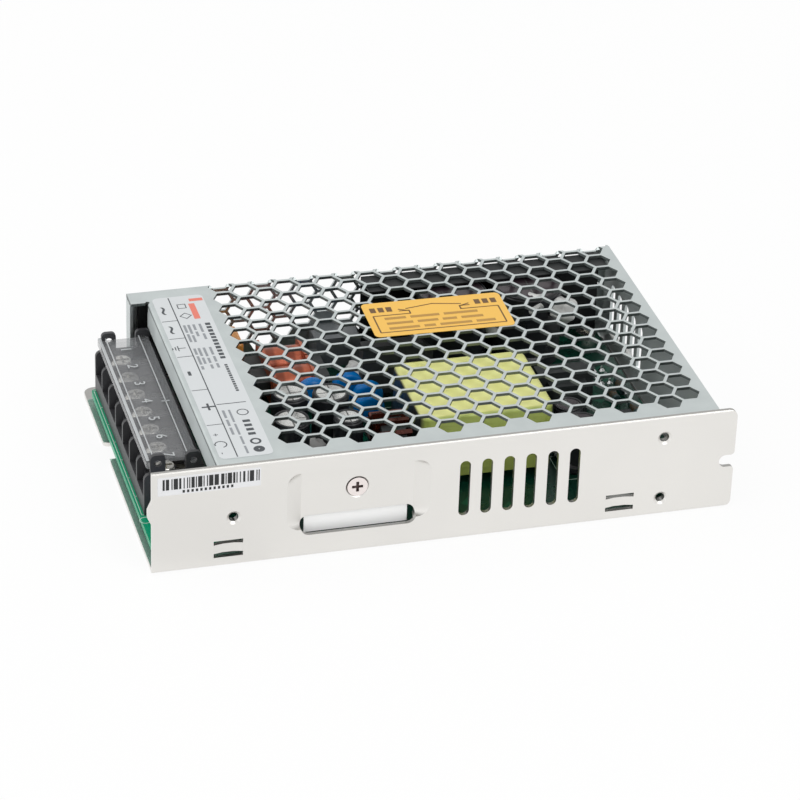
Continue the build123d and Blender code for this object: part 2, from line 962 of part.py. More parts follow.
def make_side_insulator():
    """The long sheet is folded over towards the tall capacitors."""
    near = board_far_y + insulator_gap
    top = insulator_top
    wall = upright_sheet(side_insulator_left_x, side_insulator_right_x)
    left = side_insulator_left_x
    right = side_insulator_right_x
    fold = block(left, right, near - insulator_fold, near, top, top + insulator_sheet)
    edge = block(left, right, near, near + insulator_sheet, top, top + insulator_sheet)
    return wall + fold + edge


def make_input_insulator():
    return upright_sheet(input_insulator_left_x, input_insulator_right_x)


# Terminals


def contact_pin_x():
    return block_left_x + block_depth - block_back_thickness - contact_sheet / 2 - 0.2


def barrier_profile():
    """A barrier seen along y, with its rounded front."""
    left = block_left_x
    right = block_left_x + block_depth - block_back_thickness
    face = block_sketch(left, right, board_top, board_top + barrier_height)
    front = [v for v in face.vertices() if v.X < left + 0.1 and v.Y > board_top + 1]
    return fillet(front, barrier_front_radius)


def block_sketch(x0, x1, z0, z1):
    return Pos((x0 + x1) / 2, (z0 + z1) / 2) * Rectangle(x1 - x0, z1 - z0)


def lid_ear(x):
    """An upright ear of the housing, seen along y, with a rounded top."""
    top = board_top + lid_ear_top
    face = block_sketch(x - lid_ear_width / 2, x + lid_ear_width / 2, board_top + block_floor_height, top)
    corners = [v for v in face.vertices() if v.Y > top - 0.1]
    return fillet(corners, lid_ear_radius)


def make_terminal_block():
    left = block_left_x
    right = block_left_x + block_depth
    floor_left = left + block_ledge_depth
    ledge_top = board_top + block_ledge_height
    body = block(left, floor_left, block_near_y, block_far_y, board_top, ledge_top)
    body += block(floor_left, right, block_near_y, block_far_y, board_top, block_floor)
    back_top = board_top + block_back_height
    body += block(right - block_back_thickness, right, block_near_y, block_far_y, block_floor, back_top)
    for i in range(terminal_count + 1):
        y = block_near_y + i * terminal_pitch + barrier_thickness
        body += extrude(wall_plane(y) * barrier_profile(), barrier_thickness)
    for x in (lid_ear_front_x, lid_ear_rear_x):
        for y in (block_near_y + ear_thickness, block_far_y):
            body += extrude(wall_plane(y) * lid_ear(x), ear_thickness)
        pin_line = Location((x, block_near_y + block_length / 2, board_top + lid_pin_height), (90, 0, 0))
        body -= pin_line * Cylinder(lid_pin_diameter / 2 + lid_pin_fit, block_length + 2)
    for i in range(terminal_count):
        y = terminal_y(i)
        bore = terminal_screw_diameter / 2 + terminal_bore_extra / 2
        body -= Pos(terminal_screw_x, y, block_floor) * Cylinder(bore, 2 * terminal_screw_length + 1)
        body -= Pos(contact_pin_x(), y, block_floor) * Box(
            contact_sheet + 0.2, contact_pin + 0.2, 3 * block_floor_height
        )
    return body


def make_terminal_contacts():
    """Seven plates on the housing floor, each with a pin bent down through the board."""
    plates = []
    pin_bottom = board_bottom - contact_tail
    right = contact_pin_x() + contact_sheet / 2
    for i in range(terminal_count):
        y = terminal_y(i)
        near = y - contact_width / 2
        plate = block(right - contact_length, right, near, near + contact_width, block_floor, contact_top)
        plate -= Pos(terminal_screw_x, y, contact_top) * Cylinder(terminal_screw_diameter / 2 + screw_fit, 4)
        pin = block(
            right - contact_sheet, right, y - contact_pin / 2, y + contact_pin / 2, pin_bottom, block_floor
        )
        plates.append(plate + pin)
    return group(plates)


def make_terminal_screw(index):
    """A pan head screw with its captive square washer, tightened on its contact plate."""
    sheet = terminal_washer_sheet
    washer = Pos(0, 0, sheet / 2) * Box(terminal_washer, terminal_washer, sheet)
    washer = fillet(washer.edges().filter_by(Axis.Z), terminal_washer_radius)
    head_middle = sheet + terminal_head_height / 2
    head = Pos(0, 0, head_middle) * Cylinder(terminal_head_diameter / 2, terminal_head_height)
    rim = head.edges().filter_by(GeomType.CIRCLE).sort_by(Axis.Z)[-1]
    head = chamfer(rim, terminal_head_bevel)
    top = sheet + terminal_head_height
    length = terminal_screw_length
    shank = Pos(0, 0, -length / 2) * Cylinder(terminal_screw_diameter / 2, length)
    screw = washer + head + shank - Pos(0, 0, top) * cross_tool(terminal_cross_length, cross_depth)
    return Pos(terminal_screw_x, terminal_y(index), contact_top) * screw


def make_terminal_lid():
    """A flat lid with a dropped front edge, end skirts and two hinge pins at the back."""
    near = block_near_y + ear_thickness + lid_end_gap
    far = block_far_y - ear_thickness - lid_end_gap
    top = board_top + lid_top
    under = top - lid_sheet
    front_ear_left = lid_ear_front_x - lid_ear_width / 2 - lid_front_gap
    body = block(lid_left_x, lid_right_x, near, far, under, top)
    body += block(lid_left_x, front_ear_left, block_near_y, block_far_y, under, top)
    front_right = lid_left_x + lid_skirt_sheet
    body += block(lid_left_x, front_right, block_near_y, block_far_y, under - lid_front_drop, top)
    corner_edges = [
        e
        for e in body.edges().filter_by(Axis.Z)
        if e.center().X < lid_left_x + 0.1
    ]
    body = fillet(corner_edges, lid_corner_radius)
    for y in (near, far - lid_skirt_sheet):
        body += block(
            lid_ear_rear_x - lid_skirt_reach,
            lid_right_x - lid_skirt_inset,
            y,
            y + lid_skirt_sheet,
            top - lid_skirt,
            under + lid_skirt_bite,
        )
    pin_z = board_top + lid_pin_height
    for y, side in ((near, -1), (far, 1)):
        length = ear_thickness + lid_end_gap
        spot = Location((lid_ear_rear_x, y + side * length / 2, pin_z), (90, 0, 0))
        body += spot * Cylinder(lid_pin_diameter / 2, length)
    return body


# Adjuster, lamp and selector


def make_trimmer_body():
    body = block(
        trimmer_x,
        trimmer_x + trimmer_depth,
        trimmer_y - trimmer_width / 2,
        trimmer_y + trimmer_width / 2,
        board_top,
        board_top + trimmer_height,
    )
    body = chamfer(body.edges().filter_by(Axis.X), trimmer_bevel)
    pocket = Location((trimmer_x, trimmer_y, board_top + trimmer_height / 2), (0, 90, 0))
    return body - pocket * Cylinder(rotor_diameter / 2 + rotor_fit, 2 * rotor_pocket)


def make_trimmer_rotor():
    length = rotor_pocket + rotor_proud - rotor_end_gap
    middle = trimmer_x - rotor_proud + length / 2
    spot = Location((middle, trimmer_y, board_top + trimmer_height / 2), (0, 90, 0))
    rotor = spot * Cylinder(rotor_diameter / 2, length)
    slot = Pos(trimmer_x - rotor_proud, trimmer_y, board_top + trimmer_height / 2)
    return rotor - slot * Box(2 * rotor_slot_depth, rotor_slot_length, rotor_slot_width)


def make_led():
    """A lamp lying on its side, its dome towards the terminal end, with two bent leads."""
    z = board_top + led_height
    radius = led_diameter / 2
    barrel = led_length - radius
    body = Location((led_x + barrel / 2, led_y, z), (0, 90, 0)) * Cylinder(radius, barrel)
    body += Pos(led_x, led_y, z) * Sphere(radius)
    back = led_x + barrel
    flange = Location((back - led_flange / 2, led_y, z), (0, 90, 0))
    body += flange * Cylinder(radius + led_flange_step, led_flange)
    half = led_lead / 2
    bend = back + led_lead_reach
    for side in (-1, 1):
        y = led_y + side * led_lead_spacing / 2
        body += block(back, bend, y - half, y + half, z - half, z + half)
        body += block(bend - led_lead, bend, y - half, y + half, board_top, z + half)
    return body


def selector_face_y():
    return far_inner_y - selector_clear


def make_voltage_switch_body():
    back = selector_face_y()
    body = block(
        selector_x - selector_width / 2,
        selector_x + selector_width / 2,
        back - selector_depth,
        back,
        board_top,
        board_top + selector_height,
    )
    body = chamfer(body.edges().filter_by(Axis.Y), selector_bevel)
    travel = selector_window_width - 2 * selector_clear
    return body - block(
        selector_x - travel / 2,
        selector_x + travel / 2,
        back - selector_knob_root - selector_clear,
        back + 1,
        board_top + selector_height / 2 - selector_knob_height / 2 - selector_clear,
        board_top + selector_height / 2 + selector_knob_height / 2 + selector_clear,
    )


def selector_travel():
    return selector_window_width - 4 * selector_clear - selector_knob_width


def make_voltage_switch_slider():
    back = selector_face_y()
    left = selector_x - selector_window_width / 2 + 2 * selector_clear
    middle = board_top + selector_height / 2
    knob = block(
        left,
        left + selector_knob_width,
        back - selector_knob_root,
        back + selector_knob_proud,
        middle - selector_knob_height / 2,
        middle + selector_knob_height / 2,
    )
    for share in (0.3, 0.5, 0.7):
        x = left + share * selector_knob_width
        groove = Box(selector_groove_width, 2 * selector_groove_depth, selector_knob_height + 1)
        knob -= Pos(x, back + selector_knob_proud, middle) * groove
    return knob


# Clamped power devices


def make_insulating_pad():
    left = panel_x - panel_width / 2 + pad_margin
    right = panel_x + panel_width / 2 - pad_margin
    low = board_top + pad_foot_gap
    pad = block(left, right, panel_inner_y, pad_inner_y, low, panel_top - pad_top_inset)
    hole = Location((panel_x, pad_inner_y, clamp_screw_height), (90, 0, 0))
    return pad - hole * Cylinder(screw_diameter / 2 + screw_fit, 4)


def make_rectifier(x):
    """A flat power device with its metal tab on the pad and three leads into the board."""
    half = device_width / 2
    tab_top = device_foot + device_tab_height
    tab_back = pad_inner_y + device_tab_thickness
    tab = block(x - half, x + half, pad_inner_y, tab_back, device_foot, tab_top)
    hole = Location((x, pad_inner_y, tab_top - device_hole_drop), (90, 0, 0))
    tab -= hole * Cylinder(device_hole_diameter / 2, 2 * device_thickness)
    body = block(
        x - half, x + half, pad_inner_y, pad_inner_y + device_thickness, device_foot, device_foot + device_body
    )
    body = chamfer(body.edges().filter_by(Axis.Z).sort_by(Axis.Y)[-2:], device_bevel)
    device = tab + body
    lead_y = pad_inner_y + device_thickness / 2
    for k in (-1, 0, 1):
        lead_x = x + k * device_lead_pitch
        device += block(
            lead_x - device_lead_width / 2,
            lead_x + device_lead_width / 2,
            lead_y - device_lead_sheet / 2,
            lead_y + device_lead_sheet / 2,
            board_top,
            device_foot,
        )
    return device


def make_clamp_bar():
    """A flat spring bar that presses both devices on the pad; the screw is tapped into it."""
    back = pad_inner_y + device_thickness
    left = panel_x - device_spacing / 2 - clamp_bar_overlap / 2
    right = panel_x + device_spacing / 2 + clamp_bar_overlap / 2
    middle = (device_foot + device_body + clamp_screw_height) / 2 - 1.2
    height = clamp_bar_height + 3.0
    bar = block(left, right, back, back + clamp_bar_sheet, middle - height / 2, middle + height / 2)
    bar = fillet(bar.edges().filter_by(Axis.Y), 1.2)
    hole = Location((panel_x, back, clamp_screw_height), (90, 0, 0))
    return bar - hole * Cylinder(screw_diameter / 2, 8)


# Parts on the board


def make_can(x, y, diameter, height):
    """A round capacitor with a crimp over its foot and a cross-scored vent in its top."""
    radius = diameter / 2
    foot = cap_foot_share * height
    outline = Polyline(
        (0, 0),
        (radius - cap_foot_bevel, 0),
        (radius, cap_edge),
        (radius, foot),
        (radius - cap_crimp, foot + cap_crimp_height),
        (radius, foot + 2 * cap_crimp_height),
        (radius, height - cap_edge),
        (radius - cap_edge, height),
        (0, height),
        close=True,
    )
    can = revolve(Plane.XZ * make_face(outline), Axis.Z)
    score = Pos(0, 0, height) * Box(radius * cap_vent_share, cap_vent_width, 2 * cap_vent_depth)
    can -= score
    can -= Rot(0, 0, 90) * score
    return Pos(x, y, board_top) * can


def make_disc_cap(x, y):
    """A dipped disc on two leads."""
    z = board_top + disc_lift + disc_diameter / 2
    disc = Location((x, y, z), (90, 0, 0)) * Cylinder(disc_diameter / 2, disc_thickness)
    disc = fillet(disc.edges().filter_by(GeomType.CIRCLE), disc_thickness * disc_round_share)
    for side in (-1, 1):
        lead_x = x + side * disc_lead_spacing / 2
        disc += block(
            lead_x - disc_lead / 2,
            lead_x + disc_lead / 2,
            y - disc_lead / 2,
            y + disc_lead / 2,
            board_top,
            z - disc_lead_sink,
        )
    return disc


def make_transformer():
    """The wound and taped pack, swelling a little over its winding."""
    height = transformer_top - transformer_base_height
    pack = Box(
        transformer_length, transformer_width, height, align=(Align.CENTER, Align.CENTER, Align.MIN)
    )
    pack = fillet(pack.edges().filter_by(Axis.Z), transformer_radius)
    pack = fillet(pack.faces().sort_by(Axis.Z)[-1].edges(), transformer_edge_radius)
    return Pos(transformer_x, transformer_y, board_top + transformer_base_height) * pack


def make_transformer_base():
    """The moulded pin carrier under the pack, with a raised rail along each pin row."""
    length = transformer_length + 2 * transformer_base_margin
    width = transformer_width - transformer_base_inset
    low = transformer_base_height
    lift = transformer_base_lift
    base = Pos(0, 0, (low + lift) / 2) * Box(length, width, low - lift)
    base = fillet(base.edges().filter_by(Axis.Z), transformer_base_radius)
    rail = transformer_rail_width
    for side in (-1, 1):
        rail_x = side * (length - rail) / 2
        base += Pos(rail_x, 0, low / 2) * Box(rail, width - rail, low)
    return Pos(transformer_x, transformer_y, board_top) * base


def ring_centre():
    return (ring_x, ring_y, board_top + ring_outer / 2 + ring_wire_gap + ring_wire)


def make_toroid_core():
    ring = Cylinder(ring_outer / 2, ring_width) - Cylinder(ring_inner / 2, ring_width + 1)
    return Location(ring_centre(), (0, 90, 0)) * ring


def make_toroid_winding():
    """Turns of thick wire, each a closed frame round the ring's section."""
    inner = ring_inner / 2 - ring_wire_gap
    outer = ring_outer / 2 + ring_wire_gap
    half = ring_width / 2 + ring_wire_gap
    high = half + ring_wire
    frame = block(inner - ring_wire, outer + ring_wire, -ring_wire / 2, ring_wire / 2, -high, high)
    frame -= block(inner, outer, -ring_wire, ring_wire, -half, half)
    step = 360 / ring_turns
    spot = Location(ring_centre(), (0, 90, 0))
    return group([spot * Rot(0, 0, (k + 0.5) * step) * frame for k in range(ring_turns)])


def choke_leg_y(index):
    return choke_y + (index - 0.5) * choke_pitch


def choke_axis_z():
    return board_top + choke_lift + choke_leg / 2


def make_choke_core():
    width = choke_pitch + choke_leg
    core = Box(choke_length, width, choke_leg)
    core -= Box(choke_length - 2 * choke_leg, width - 2 * choke_leg, choke_leg + 1)
    core = chamfer(core.edges().filter_by(Axis.Z).sort_by_distance((0, 0, 0))[-4:], choke_core_bevel)
    return Pos(choke_x, choke_y, choke_axis_z()) * core


def make_choke_winding(index):
    """A bobbin with two square flanges and a round coil between them, on one leg of the core."""
    y = choke_leg_y(index)
    z = choke_axis_z()
    half = choke_coil_length / 2
    coil = Location((choke_x, y, z), (0, 90, 0)) * Cylinder(choke_coil_diameter / 2, choke_coil_length)
    for side in (-1, 1):
        x = choke_x + side * (half + choke_flange / 2)
        coil += block(
            x - choke_flange / 2,
            x + choke_flange / 2,
            y - choke_flange_size / 2,
            y + choke_flange_size / 2,
            board_top,
            z + choke_flange_size / 2,
        )
    bore = choke_leg + choke_bore_gap
    coil -= Pos(choke_x, y, z) * Box(choke_length, bore, bore)
    return coil


def make_x_capacitor():
    box = Box(x_cap_length, x_cap_width, x_cap_height, align=(Align.CENTER, Align.CENTER, Align.MIN))
    box = fillet(box.edges().filter_by(Axis.Z) + box.faces().sort_by(Axis.Z)[-1].edges(), x_cap_radius)
    return Pos(x_cap_x, x_cap_y, board_top) * box


def make_bridge_rectifier():
    """An upright flat rectifier with one cut corner and four leads."""
    face = Pos(0, bridge_height / 2) * Rectangle(bridge_length, bridge_height)
    corner = face.vertices().sort_by(Axis.X)[-2:].sort_by(Axis.Y)[-1]
    face = chamfer(corner, bridge_chamfer)
    lift = Pos(bridge_x, bridge_y + bridge_thickness / 2, board_top + bridge_lift)
    body = lift * extrude(wall_plane(0) * face, bridge_thickness)
    for k in range(4):
        lead_x = bridge_x + (k - 1.5) * bridge_lead_pitch
        body += block(
            lead_x - bridge_lead_width / 2,
            lead_x + bridge_lead_width / 2,
            bridge_y - bridge_lead_sheet / 2,
            bridge_y + bridge_lead_sheet / 2,
            board_top,
            board_top + bridge_lift + bridge_lead_sink,
        )
    return body


def moulded_part(length, width, height, legs):
    """A small moulded part on two rows of bent legs, its length along x, standing on z = 0."""
    body = Pos(0, 0, leg_lift + height / 2) * Box(length, width, height)
    body = chamfer(body.edges().filter_by(Axis.X), leg_lift)
    for i in range(legs):
        leg_x = (i - (legs - 1) / 2) * leg_pitch
        for side in (-1, 1):
            inner = side * width / 2 - side * leg_width
            outer = side * (width / 2 + leg_reach)
            near, far = sorted((inner, outer))
            middle = leg_lift + height / 2
            body += block(leg_x - leg_width / 2, leg_x + leg_width / 2, near, far, middle - leg_width, middle)
            foot_near, foot_far = sorted((outer, outer - side * leg_width))
            body += block(leg_x - leg_width / 2, leg_x + leg_width / 2, foot_near, foot_far, 0, middle)
    return body


def make_optocoupler(x, y):
    return Pos(x, y, board_top) * moulded_part(opto_length, opto_width, opto_height, 2)


def make_control_chip():
    chip = Rot(0, 0, 90) * moulded_part(chip_length, chip_width, chip_height, chip_legs)
    return Pos(chip_x, chip_y, board_top) * chip


def make_driver_transformer():
    """A small transformer: two core halves round a taped coil on its carrier."""
    core = Box(driver_core_length, driver_core_width, driver_core_height)
    coil = Box(driver_coil_length, driver_coil_width, driver_coil_height)
    coil = fillet(coil.edges().filter_by(Axis.Z), driver_coil_radius)
    low = -driver_core_height / 2 - driver_lift
    pack = core + coil
    for side in (-1, 1):
        rail_y = side * (driver_coil_width / 2 - driver_lift)
        top = -driver_coil_height / 2
        rail_near = rail_y - driver_lift
        rail_far = rail_y + driver_lift
        pack += block(-driver_coil_length / 2, driver_coil_length / 2, rail_near, rail_far, low, top)
    return Pos(driver_x, driver_y, board_top - low) * pack


def make_fuse():
    can = Pos(fuse_x, fuse_y, board_top + fuse_height / 2) * Cylinder(fuse_diameter / 2, fuse_height)
    return fillet(can.edges().filter_by(GeomType.CIRCLE).sort_by(Axis.Z)[-1], fuse_radius)


# Labels


def make_rating_label():
    face = Pos(rating_left_x + rating_width / 2, rating_near_y + rating_length / 2) * RectangleRounded(
        rating_width, rating_length, rating_radius
    )
    return Pos(0, 0, cover_top) * extrude(face, label_sheet, dir=(0, 0, 1))


def make_voltage_sticker():
    face = Pos(sticker_x, sticker_y) * Rot(0, 0, sticker_turn) * RectangleRounded(
        sticker_length, sticker_width, sticker_radius
    )
    return Pos(0, 0, cover_top) * extrude(face, label_sheet, dir=(0, 0, 1))


def make_barcode_sticker():
    return block(
        barcode_left_x,
        barcode_left_x + barcode_length,
        -label_sheet,
        0,
        barcode_bottom,
        barcode_bottom + barcode_height,
    )


def all_pieces():
    pieces = {
        "chassis": make_chassis(),
        "mesh_cover": make_mesh_cover(),
        "clamp_screw": make_clamp_screw(),
        "clamp_bar": make_clamp_bar(),
        "insulating_pad": make_insulating_pad(),
        "rectifier_1": make_rectifier(panel_x - device_spacing / 2),
        "rectifier_2": make_rectifier(panel_x + device_spacing / 2),
        "cover_screws": make_cover_screws(),
        "insulating_film": make_insulating_film(),
        "circuit_board": make_circuit_board(),
        "board_screws": make_board_screws(),
        "terminal_block": make_terminal_block(),
        "terminal_lid": make_terminal_lid(),
        "terminal_contacts": make_terminal_contacts(),
        "trimmer_body": make_trimmer_body(),
        "trimmer_rotor": make_trimmer_rotor(),
        "led": make_led(),
        "voltage_switch_body": make_voltage_switch_body(),
        "voltage_switch_slider": make_voltage_switch_slider(),
        "fuse": make_fuse(),
        "thermistor": make_disc_cap(thermistor_x, thermistor_y),
        "x_capacitor": make_x_capacitor(),
        "choke_core": make_choke_core(),
        "bridge_rectifier": make_bridge_rectifier(),
        "transformer": make_transformer(),
        "transformer_base": make_transformer_base(),
        "driver_transformer": make_driver_transformer(),
        "control_chip": make_control_chip(),
        "toroid_core": make_toroid_core(),
        "toroid_winding": make_toroid_winding(),
        "side_insulator": make_side_insulator(),
        "input_insulator": make_input_insulator(),
        "rating_label": make_rating_label(),
        "voltage_sticker": make_voltage_sticker(),
        "barcode_sticker": make_barcode_sticker(),
    }
    for i in range(terminal_count):
        pieces[f"terminal_screw_{i + 1}"] = make_terminal_screw(terminal_count - 1 - i)
    for i in range(2):
        pieces[f"choke_winding_{i + 1}"] = make_choke_winding(i)
        pieces[f"optocoupler_{i + 1}"] = make_optocoupler(*opto_places[i])
        pieces[f"bulk_capacitor_{i + 1}"] = make_can(*bulk_places[i], bulk_diameter, bulk_height)
        pieces[f"auxiliary_capacitor_{i + 1}"] = make_can(*auxiliary_caps[i])
    for i in range(4):
        pieces[f"output_capacitor_{i + 1}"] = make_can(*output_caps[i])
        pieces[f"y_capacitor_{i + 1}"] = make_disc_cap(*disc_caps[i])
    return pieces


os.makedirs("parts", exist_ok=True)
for name, shape in all_pieces().items():
    export_step(place(shape), f"parts/{name}.step")
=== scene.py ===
import math
import random

import bmesh
import bpy
from mathutils import Matrix, Vector, noise


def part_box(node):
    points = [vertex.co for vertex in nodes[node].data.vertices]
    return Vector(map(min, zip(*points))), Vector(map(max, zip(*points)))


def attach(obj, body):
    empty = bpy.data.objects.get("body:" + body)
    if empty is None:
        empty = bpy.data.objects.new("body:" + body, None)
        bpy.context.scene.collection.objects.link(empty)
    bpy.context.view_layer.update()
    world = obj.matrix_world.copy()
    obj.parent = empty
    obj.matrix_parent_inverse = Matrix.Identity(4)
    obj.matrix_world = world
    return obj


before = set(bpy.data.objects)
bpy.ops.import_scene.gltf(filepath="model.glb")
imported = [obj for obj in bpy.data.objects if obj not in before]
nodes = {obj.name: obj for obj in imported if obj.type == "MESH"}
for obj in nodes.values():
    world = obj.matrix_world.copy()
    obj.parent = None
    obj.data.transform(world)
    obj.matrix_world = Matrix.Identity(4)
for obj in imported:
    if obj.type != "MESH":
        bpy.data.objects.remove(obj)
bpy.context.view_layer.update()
scene = bpy.context.scene
random.seed(7)
print("frame loaded:", len(nodes), "nodes")

# lengths below are in millimetres from the case's near bottom corner, as a maker would measure them
caseMm = {"length": 159.0, "width": 97.0}


def spot(x, y, z):
    return Vector(((x - caseMm["length"] / 2) / 1000, (y - caseMm["width"] / 2) / 1000, z / 1000))


def caseBox(node):
    low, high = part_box(node)
    half = Vector((caseMm["length"] / 2, caseMm["width"] / 2, 0))
    return low * 1000 + half, high * 1000 + half


def toLinear(code):
    channels = [int(code[i:i + 2], 16) / 255 for i in (1, 3, 5)]
    return [c / 12.92 if c <= 0.04045 else ((c + 0.055) / 1.055) ** 2.4 for c in channels] + [1.0]


def addNode(tree, kind, settings=None, values=None, links=None):
    node = tree.nodes.new(kind)
    for name, value in (settings or {}).items():
        setattr(node, name, value)
    for name, value in (values or {}).items():
        node.inputs[name].default_value = value
    for name, socket in (links or {}).items():
        tree.links.new(socket, node.inputs[name])
    return node


def startMaterial(name, look):
    # grain: bump along x, y, z in mm; patch: slow colour and gloss drift in mm
    material = bpy.data.materials.new(name)
    material.use_nodes = True
    tree = material.node_tree
    shader = tree.nodes["Principled BSDF"]
    shader.inputs["Metallic"].default_value = look.get("metallic", 0)
    if "ior" in look:
        shader.inputs["IOR"].default_value = look["ior"]
    if "coat" in look:
        shader.inputs["Coat Weight"].default_value = look["coat"]
        shader.inputs["Coat Roughness"].default_value = 0.12
    where = addNode(tree, "ShaderNodeTexCoord")
    grainPlace = addNode(tree, "ShaderNodeMapping", None,
                         {"Scale": [1000 / step for step in look["grain"]]},
                         {"Vector": where.outputs["Object"]})
    grain = addNode(tree, "ShaderNodeTexNoise", None,
                    {"Scale": 1.0, "Detail": 3.0, "Roughness": 0.55},
                    {"Vector": grainPlace.outputs["Vector"]})
    patch = addNode(tree, "ShaderNodeTexNoise", None,
                    {"Scale": 1000 / look["patch"], "Detail": 3.0, "Roughness": 0.6},
                    {"Vector": where.outputs["Object"]})
    tone = addNode(tree, "ShaderNodeMix", {"data_type": "RGBA"},
                   {"A": toLinear(look["colours"][0]), "B": toLinear(look["colours"][1])},
                   {"Factor": patch.outputs["Fac"]})
    gloss = addNode(tree, "ShaderNodeMapRange", None,
                    {"From Min": 0.3, "From Max": 0.7, "To Min": look["rough"][0],
                     "To Max": look["rough"][1]},
                    {"Value": patch.outputs["Fac"]})
    bump = addNode(tree, "ShaderNodeBump", None,
                   {"Strength": look.get("strength", 0.5), "Distance": look["depth"] / 1000},
                   {"Height": grain.outputs["Fac"]})
    tree.links.new(tone.outputs["Result"], shader.inputs["Base Color"])
    tree.links.new(gloss.outputs["Result"], shader.inputs["Roughness"])
    tree.links.new(bump.outputs["Normal"], shader.inputs["Normal"])
    return material, tree, shader, where, tone, bump


def plainMaterial(name, look):
    return startMaterial(name, look)[0]


def mixByNormal(tree, shader, tone, change):
    # faces turned along one axis (either way if "both") take another colour
    turn = addNode(tree, "ShaderNodeSeparateXYZ", None, None,
                   {"Vector": addNode(tree, "ShaderNodeNewGeometry").outputs["True Normal"]})
    value = turn.outputs[change["axis"]]
    if change.get("both"):
        value = addNode(tree, "ShaderNodeMath", {"operation": "ABSOLUTE"}, None,
                        {0: value}).outputs["Value"]
    share = addNode(tree, "ShaderNodeMapRange", None,
                    {"From Min": change["start"], "From Max": change["end"]}, {"Value": value})
    mixed = addNode(tree, "ShaderNodeMix", {"data_type": "RGBA"}, {"B": toLinear(change["colour"])},
                    {"Factor": share.outputs["Result"], "A": tone.outputs["Result"]})
    tree.links.new(mixed.outputs["Result"], shader.inputs["Base Color"])
    return mixed


materials = {}

# rolled aluminium sheet: near white satin with rolling lines along the length
materials["chassis"], tree, shader, where, tone, bump = startMaterial("rolledAluminiumSheet", {
    "colours": ("#e3e1dd", "#eeece8"), "metallic": 1.0, "rough": (0.34, 0.44),
    "grain": (40, 0.5, 0.5), "depth": 0.006, "strength": 0.25, "patch": 45})
# painted shade: faces turned upwards are greyed towards a darker tone
mixByNormal(tree, shader, tone, {"axis": "Z", "start": 0.3, "end": 0.9, "colour": "#a5a4a1"})

# galvanised steel sheet: cool light grey, satin, with the faint cloudy spangle of the zinc
materials["cover"], tree, shader, where, tone, bump = startMaterial("galvanisedSteelSheet", {
    "colours": ("#b5bcbc", "#c8cecd"), "metallic": 1.0, "rough": (0.36, 0.5),
    "grain": (1.4, 1.4, 1.4), "depth": 0.01, "strength": 0.25, "patch": 6})
# the sheared walls of its holes, within the thickness of the top sheet, are dull and dark: painted shade
# inside the holes
coverPaintedLight = {"sheetBottom": 0.0286, "colour": "#6f7675", "litSideMetal": 0.1}
facing = addNode(tree, "ShaderNodeSeparateXYZ", None, None,
                 {"Vector": addNode(tree, "ShaderNodeNewGeometry").outputs["True Normal"]})
upright = addNode(tree, "ShaderNodeMath", {"operation": "ABSOLUTE"}, None, {0: facing.outputs["Z"]})
sheared = addNode(tree, "ShaderNodeMapRange", None, {"From Min": 0.4, "From Max": 0.2},
                  {"Value": upright.outputs["Value"]})
height = addNode(tree, "ShaderNodeSeparateXYZ", None, None, {"Vector": where.outputs["Object"]})
inSheet = addNode(tree, "ShaderNodeMath", {"operation": "GREATER_THAN"}, {1: coverPaintedLight["sheetBottom"]},
                  {0: height.outputs["Z"]})
holeWallShade = addNode(tree, "ShaderNodeMath", {"operation": "MULTIPLY"}, None,
                  {0: sheared.outputs["Result"], 1: inSheet.outputs["Value"]})
holeShadeTone = addNode(tree, "ShaderNodeMix", {"data_type": "RGBA"}, {"B": toLinear(coverPaintedLight["colour"])},
                  {"Factor": holeWallShade.outputs["Value"], "A": tone.outputs["Result"]})
tree.links.new(holeShadeTone.outputs["Result"], shader.inputs["Base Color"])
# painted light: faces turned towards -x, the folded lip and ear among them, lose most of their metal so
# that they show brighter under the lamps
leftFacesLit = addNode(tree, "ShaderNodeMapRange", None,
                 {"From Min": -0.6, "From Max": -0.95, "To Min": 1.0, "To Max": coverPaintedLight["litSideMetal"]},
                 {"Value": facing.outputs["X"]})
tree.links.new(leftFacesLit.outputs["Result"], shader.inputs["Metallic"])

# bright nickel plate on steel screws: mirror-like with faint turning marks
materials["screw"] = plainMaterial("nickelPlatedSteel", {
    "colours": ("#c9c8c2", "#dedcd6"), "metallic": 1.0, "rough": (0.14, 0.3),
    "grain": (0.25, 0.25, 0.25), "depth": 0.008, "strength": 0.3, "patch": 2})

# tinned brass contact: soft pale metal
materials["contact"] = plainMaterial("tinnedBrass", {
    "colours": ("#bdb9a8", "#d2cfc2"), "metallic": 1.0, "rough": (0.25, 0.4),
    "grain": (0.4, 3.0, 0.4), "depth": 0.006, "strength": 0.3, "patch": 3})

# black glass-filled PBT moulding: nearly black, even low sheen with a fine spark texture
materials["block"] = plainMaterial("blackPbtMoulding", {
    "colours": ("#27272a", "#333336"), "rough": (0.42, 0.55), "ior": 1.57,
    "grain": (0.22, 0.22, 0.22), "depth": 0.02, "strength": 0.5, "patch": 8})

# red moulded knob, satin
materials["knob"] = plainMaterial("redAbsMoulding", {
    "colours": ("#9c1d17", "#b3261f"), "rough": (0.35, 0.45), "ior": 1.53,
    "grain": (0.3, 0.3, 0.3), "depth": 0.01, "patch": 3})

# blue moulded trimmer case, satin
materials["trimmer"] = plainMaterial("blueDapMoulding", {
    "colours": ("#1c4f94", "#2560a8"), "rough": (0.35, 0.48), "ior": 1.54,
    "grain": (0.3, 0.3, 0.3), "depth": 0.01, "patch": 3})

# white moulded trimmer rotor
materials["rotor"] = plainMaterial("whitePolyamideMoulding", {
    "colours": ("#dcdad4", "#e8e6e1"), "rough": (0.4, 0.5), "ior": 1.53,
    "grain": (0.3, 0.3, 0.3), "depth": 0.008, "patch": 2})

# moulded epoxy of power devices: charcoal, dull, faintly pitted
materials["epoxy"] = plainMaterial("mouldedBlackEpoxy", {
    "colours": ("#26282a", "#34373a"), "rough": (0.45, 0.6), "ior": 1.55,
    "grain": (0.2, 0.2, 0.2), "depth": 0.015, "patch": 4})

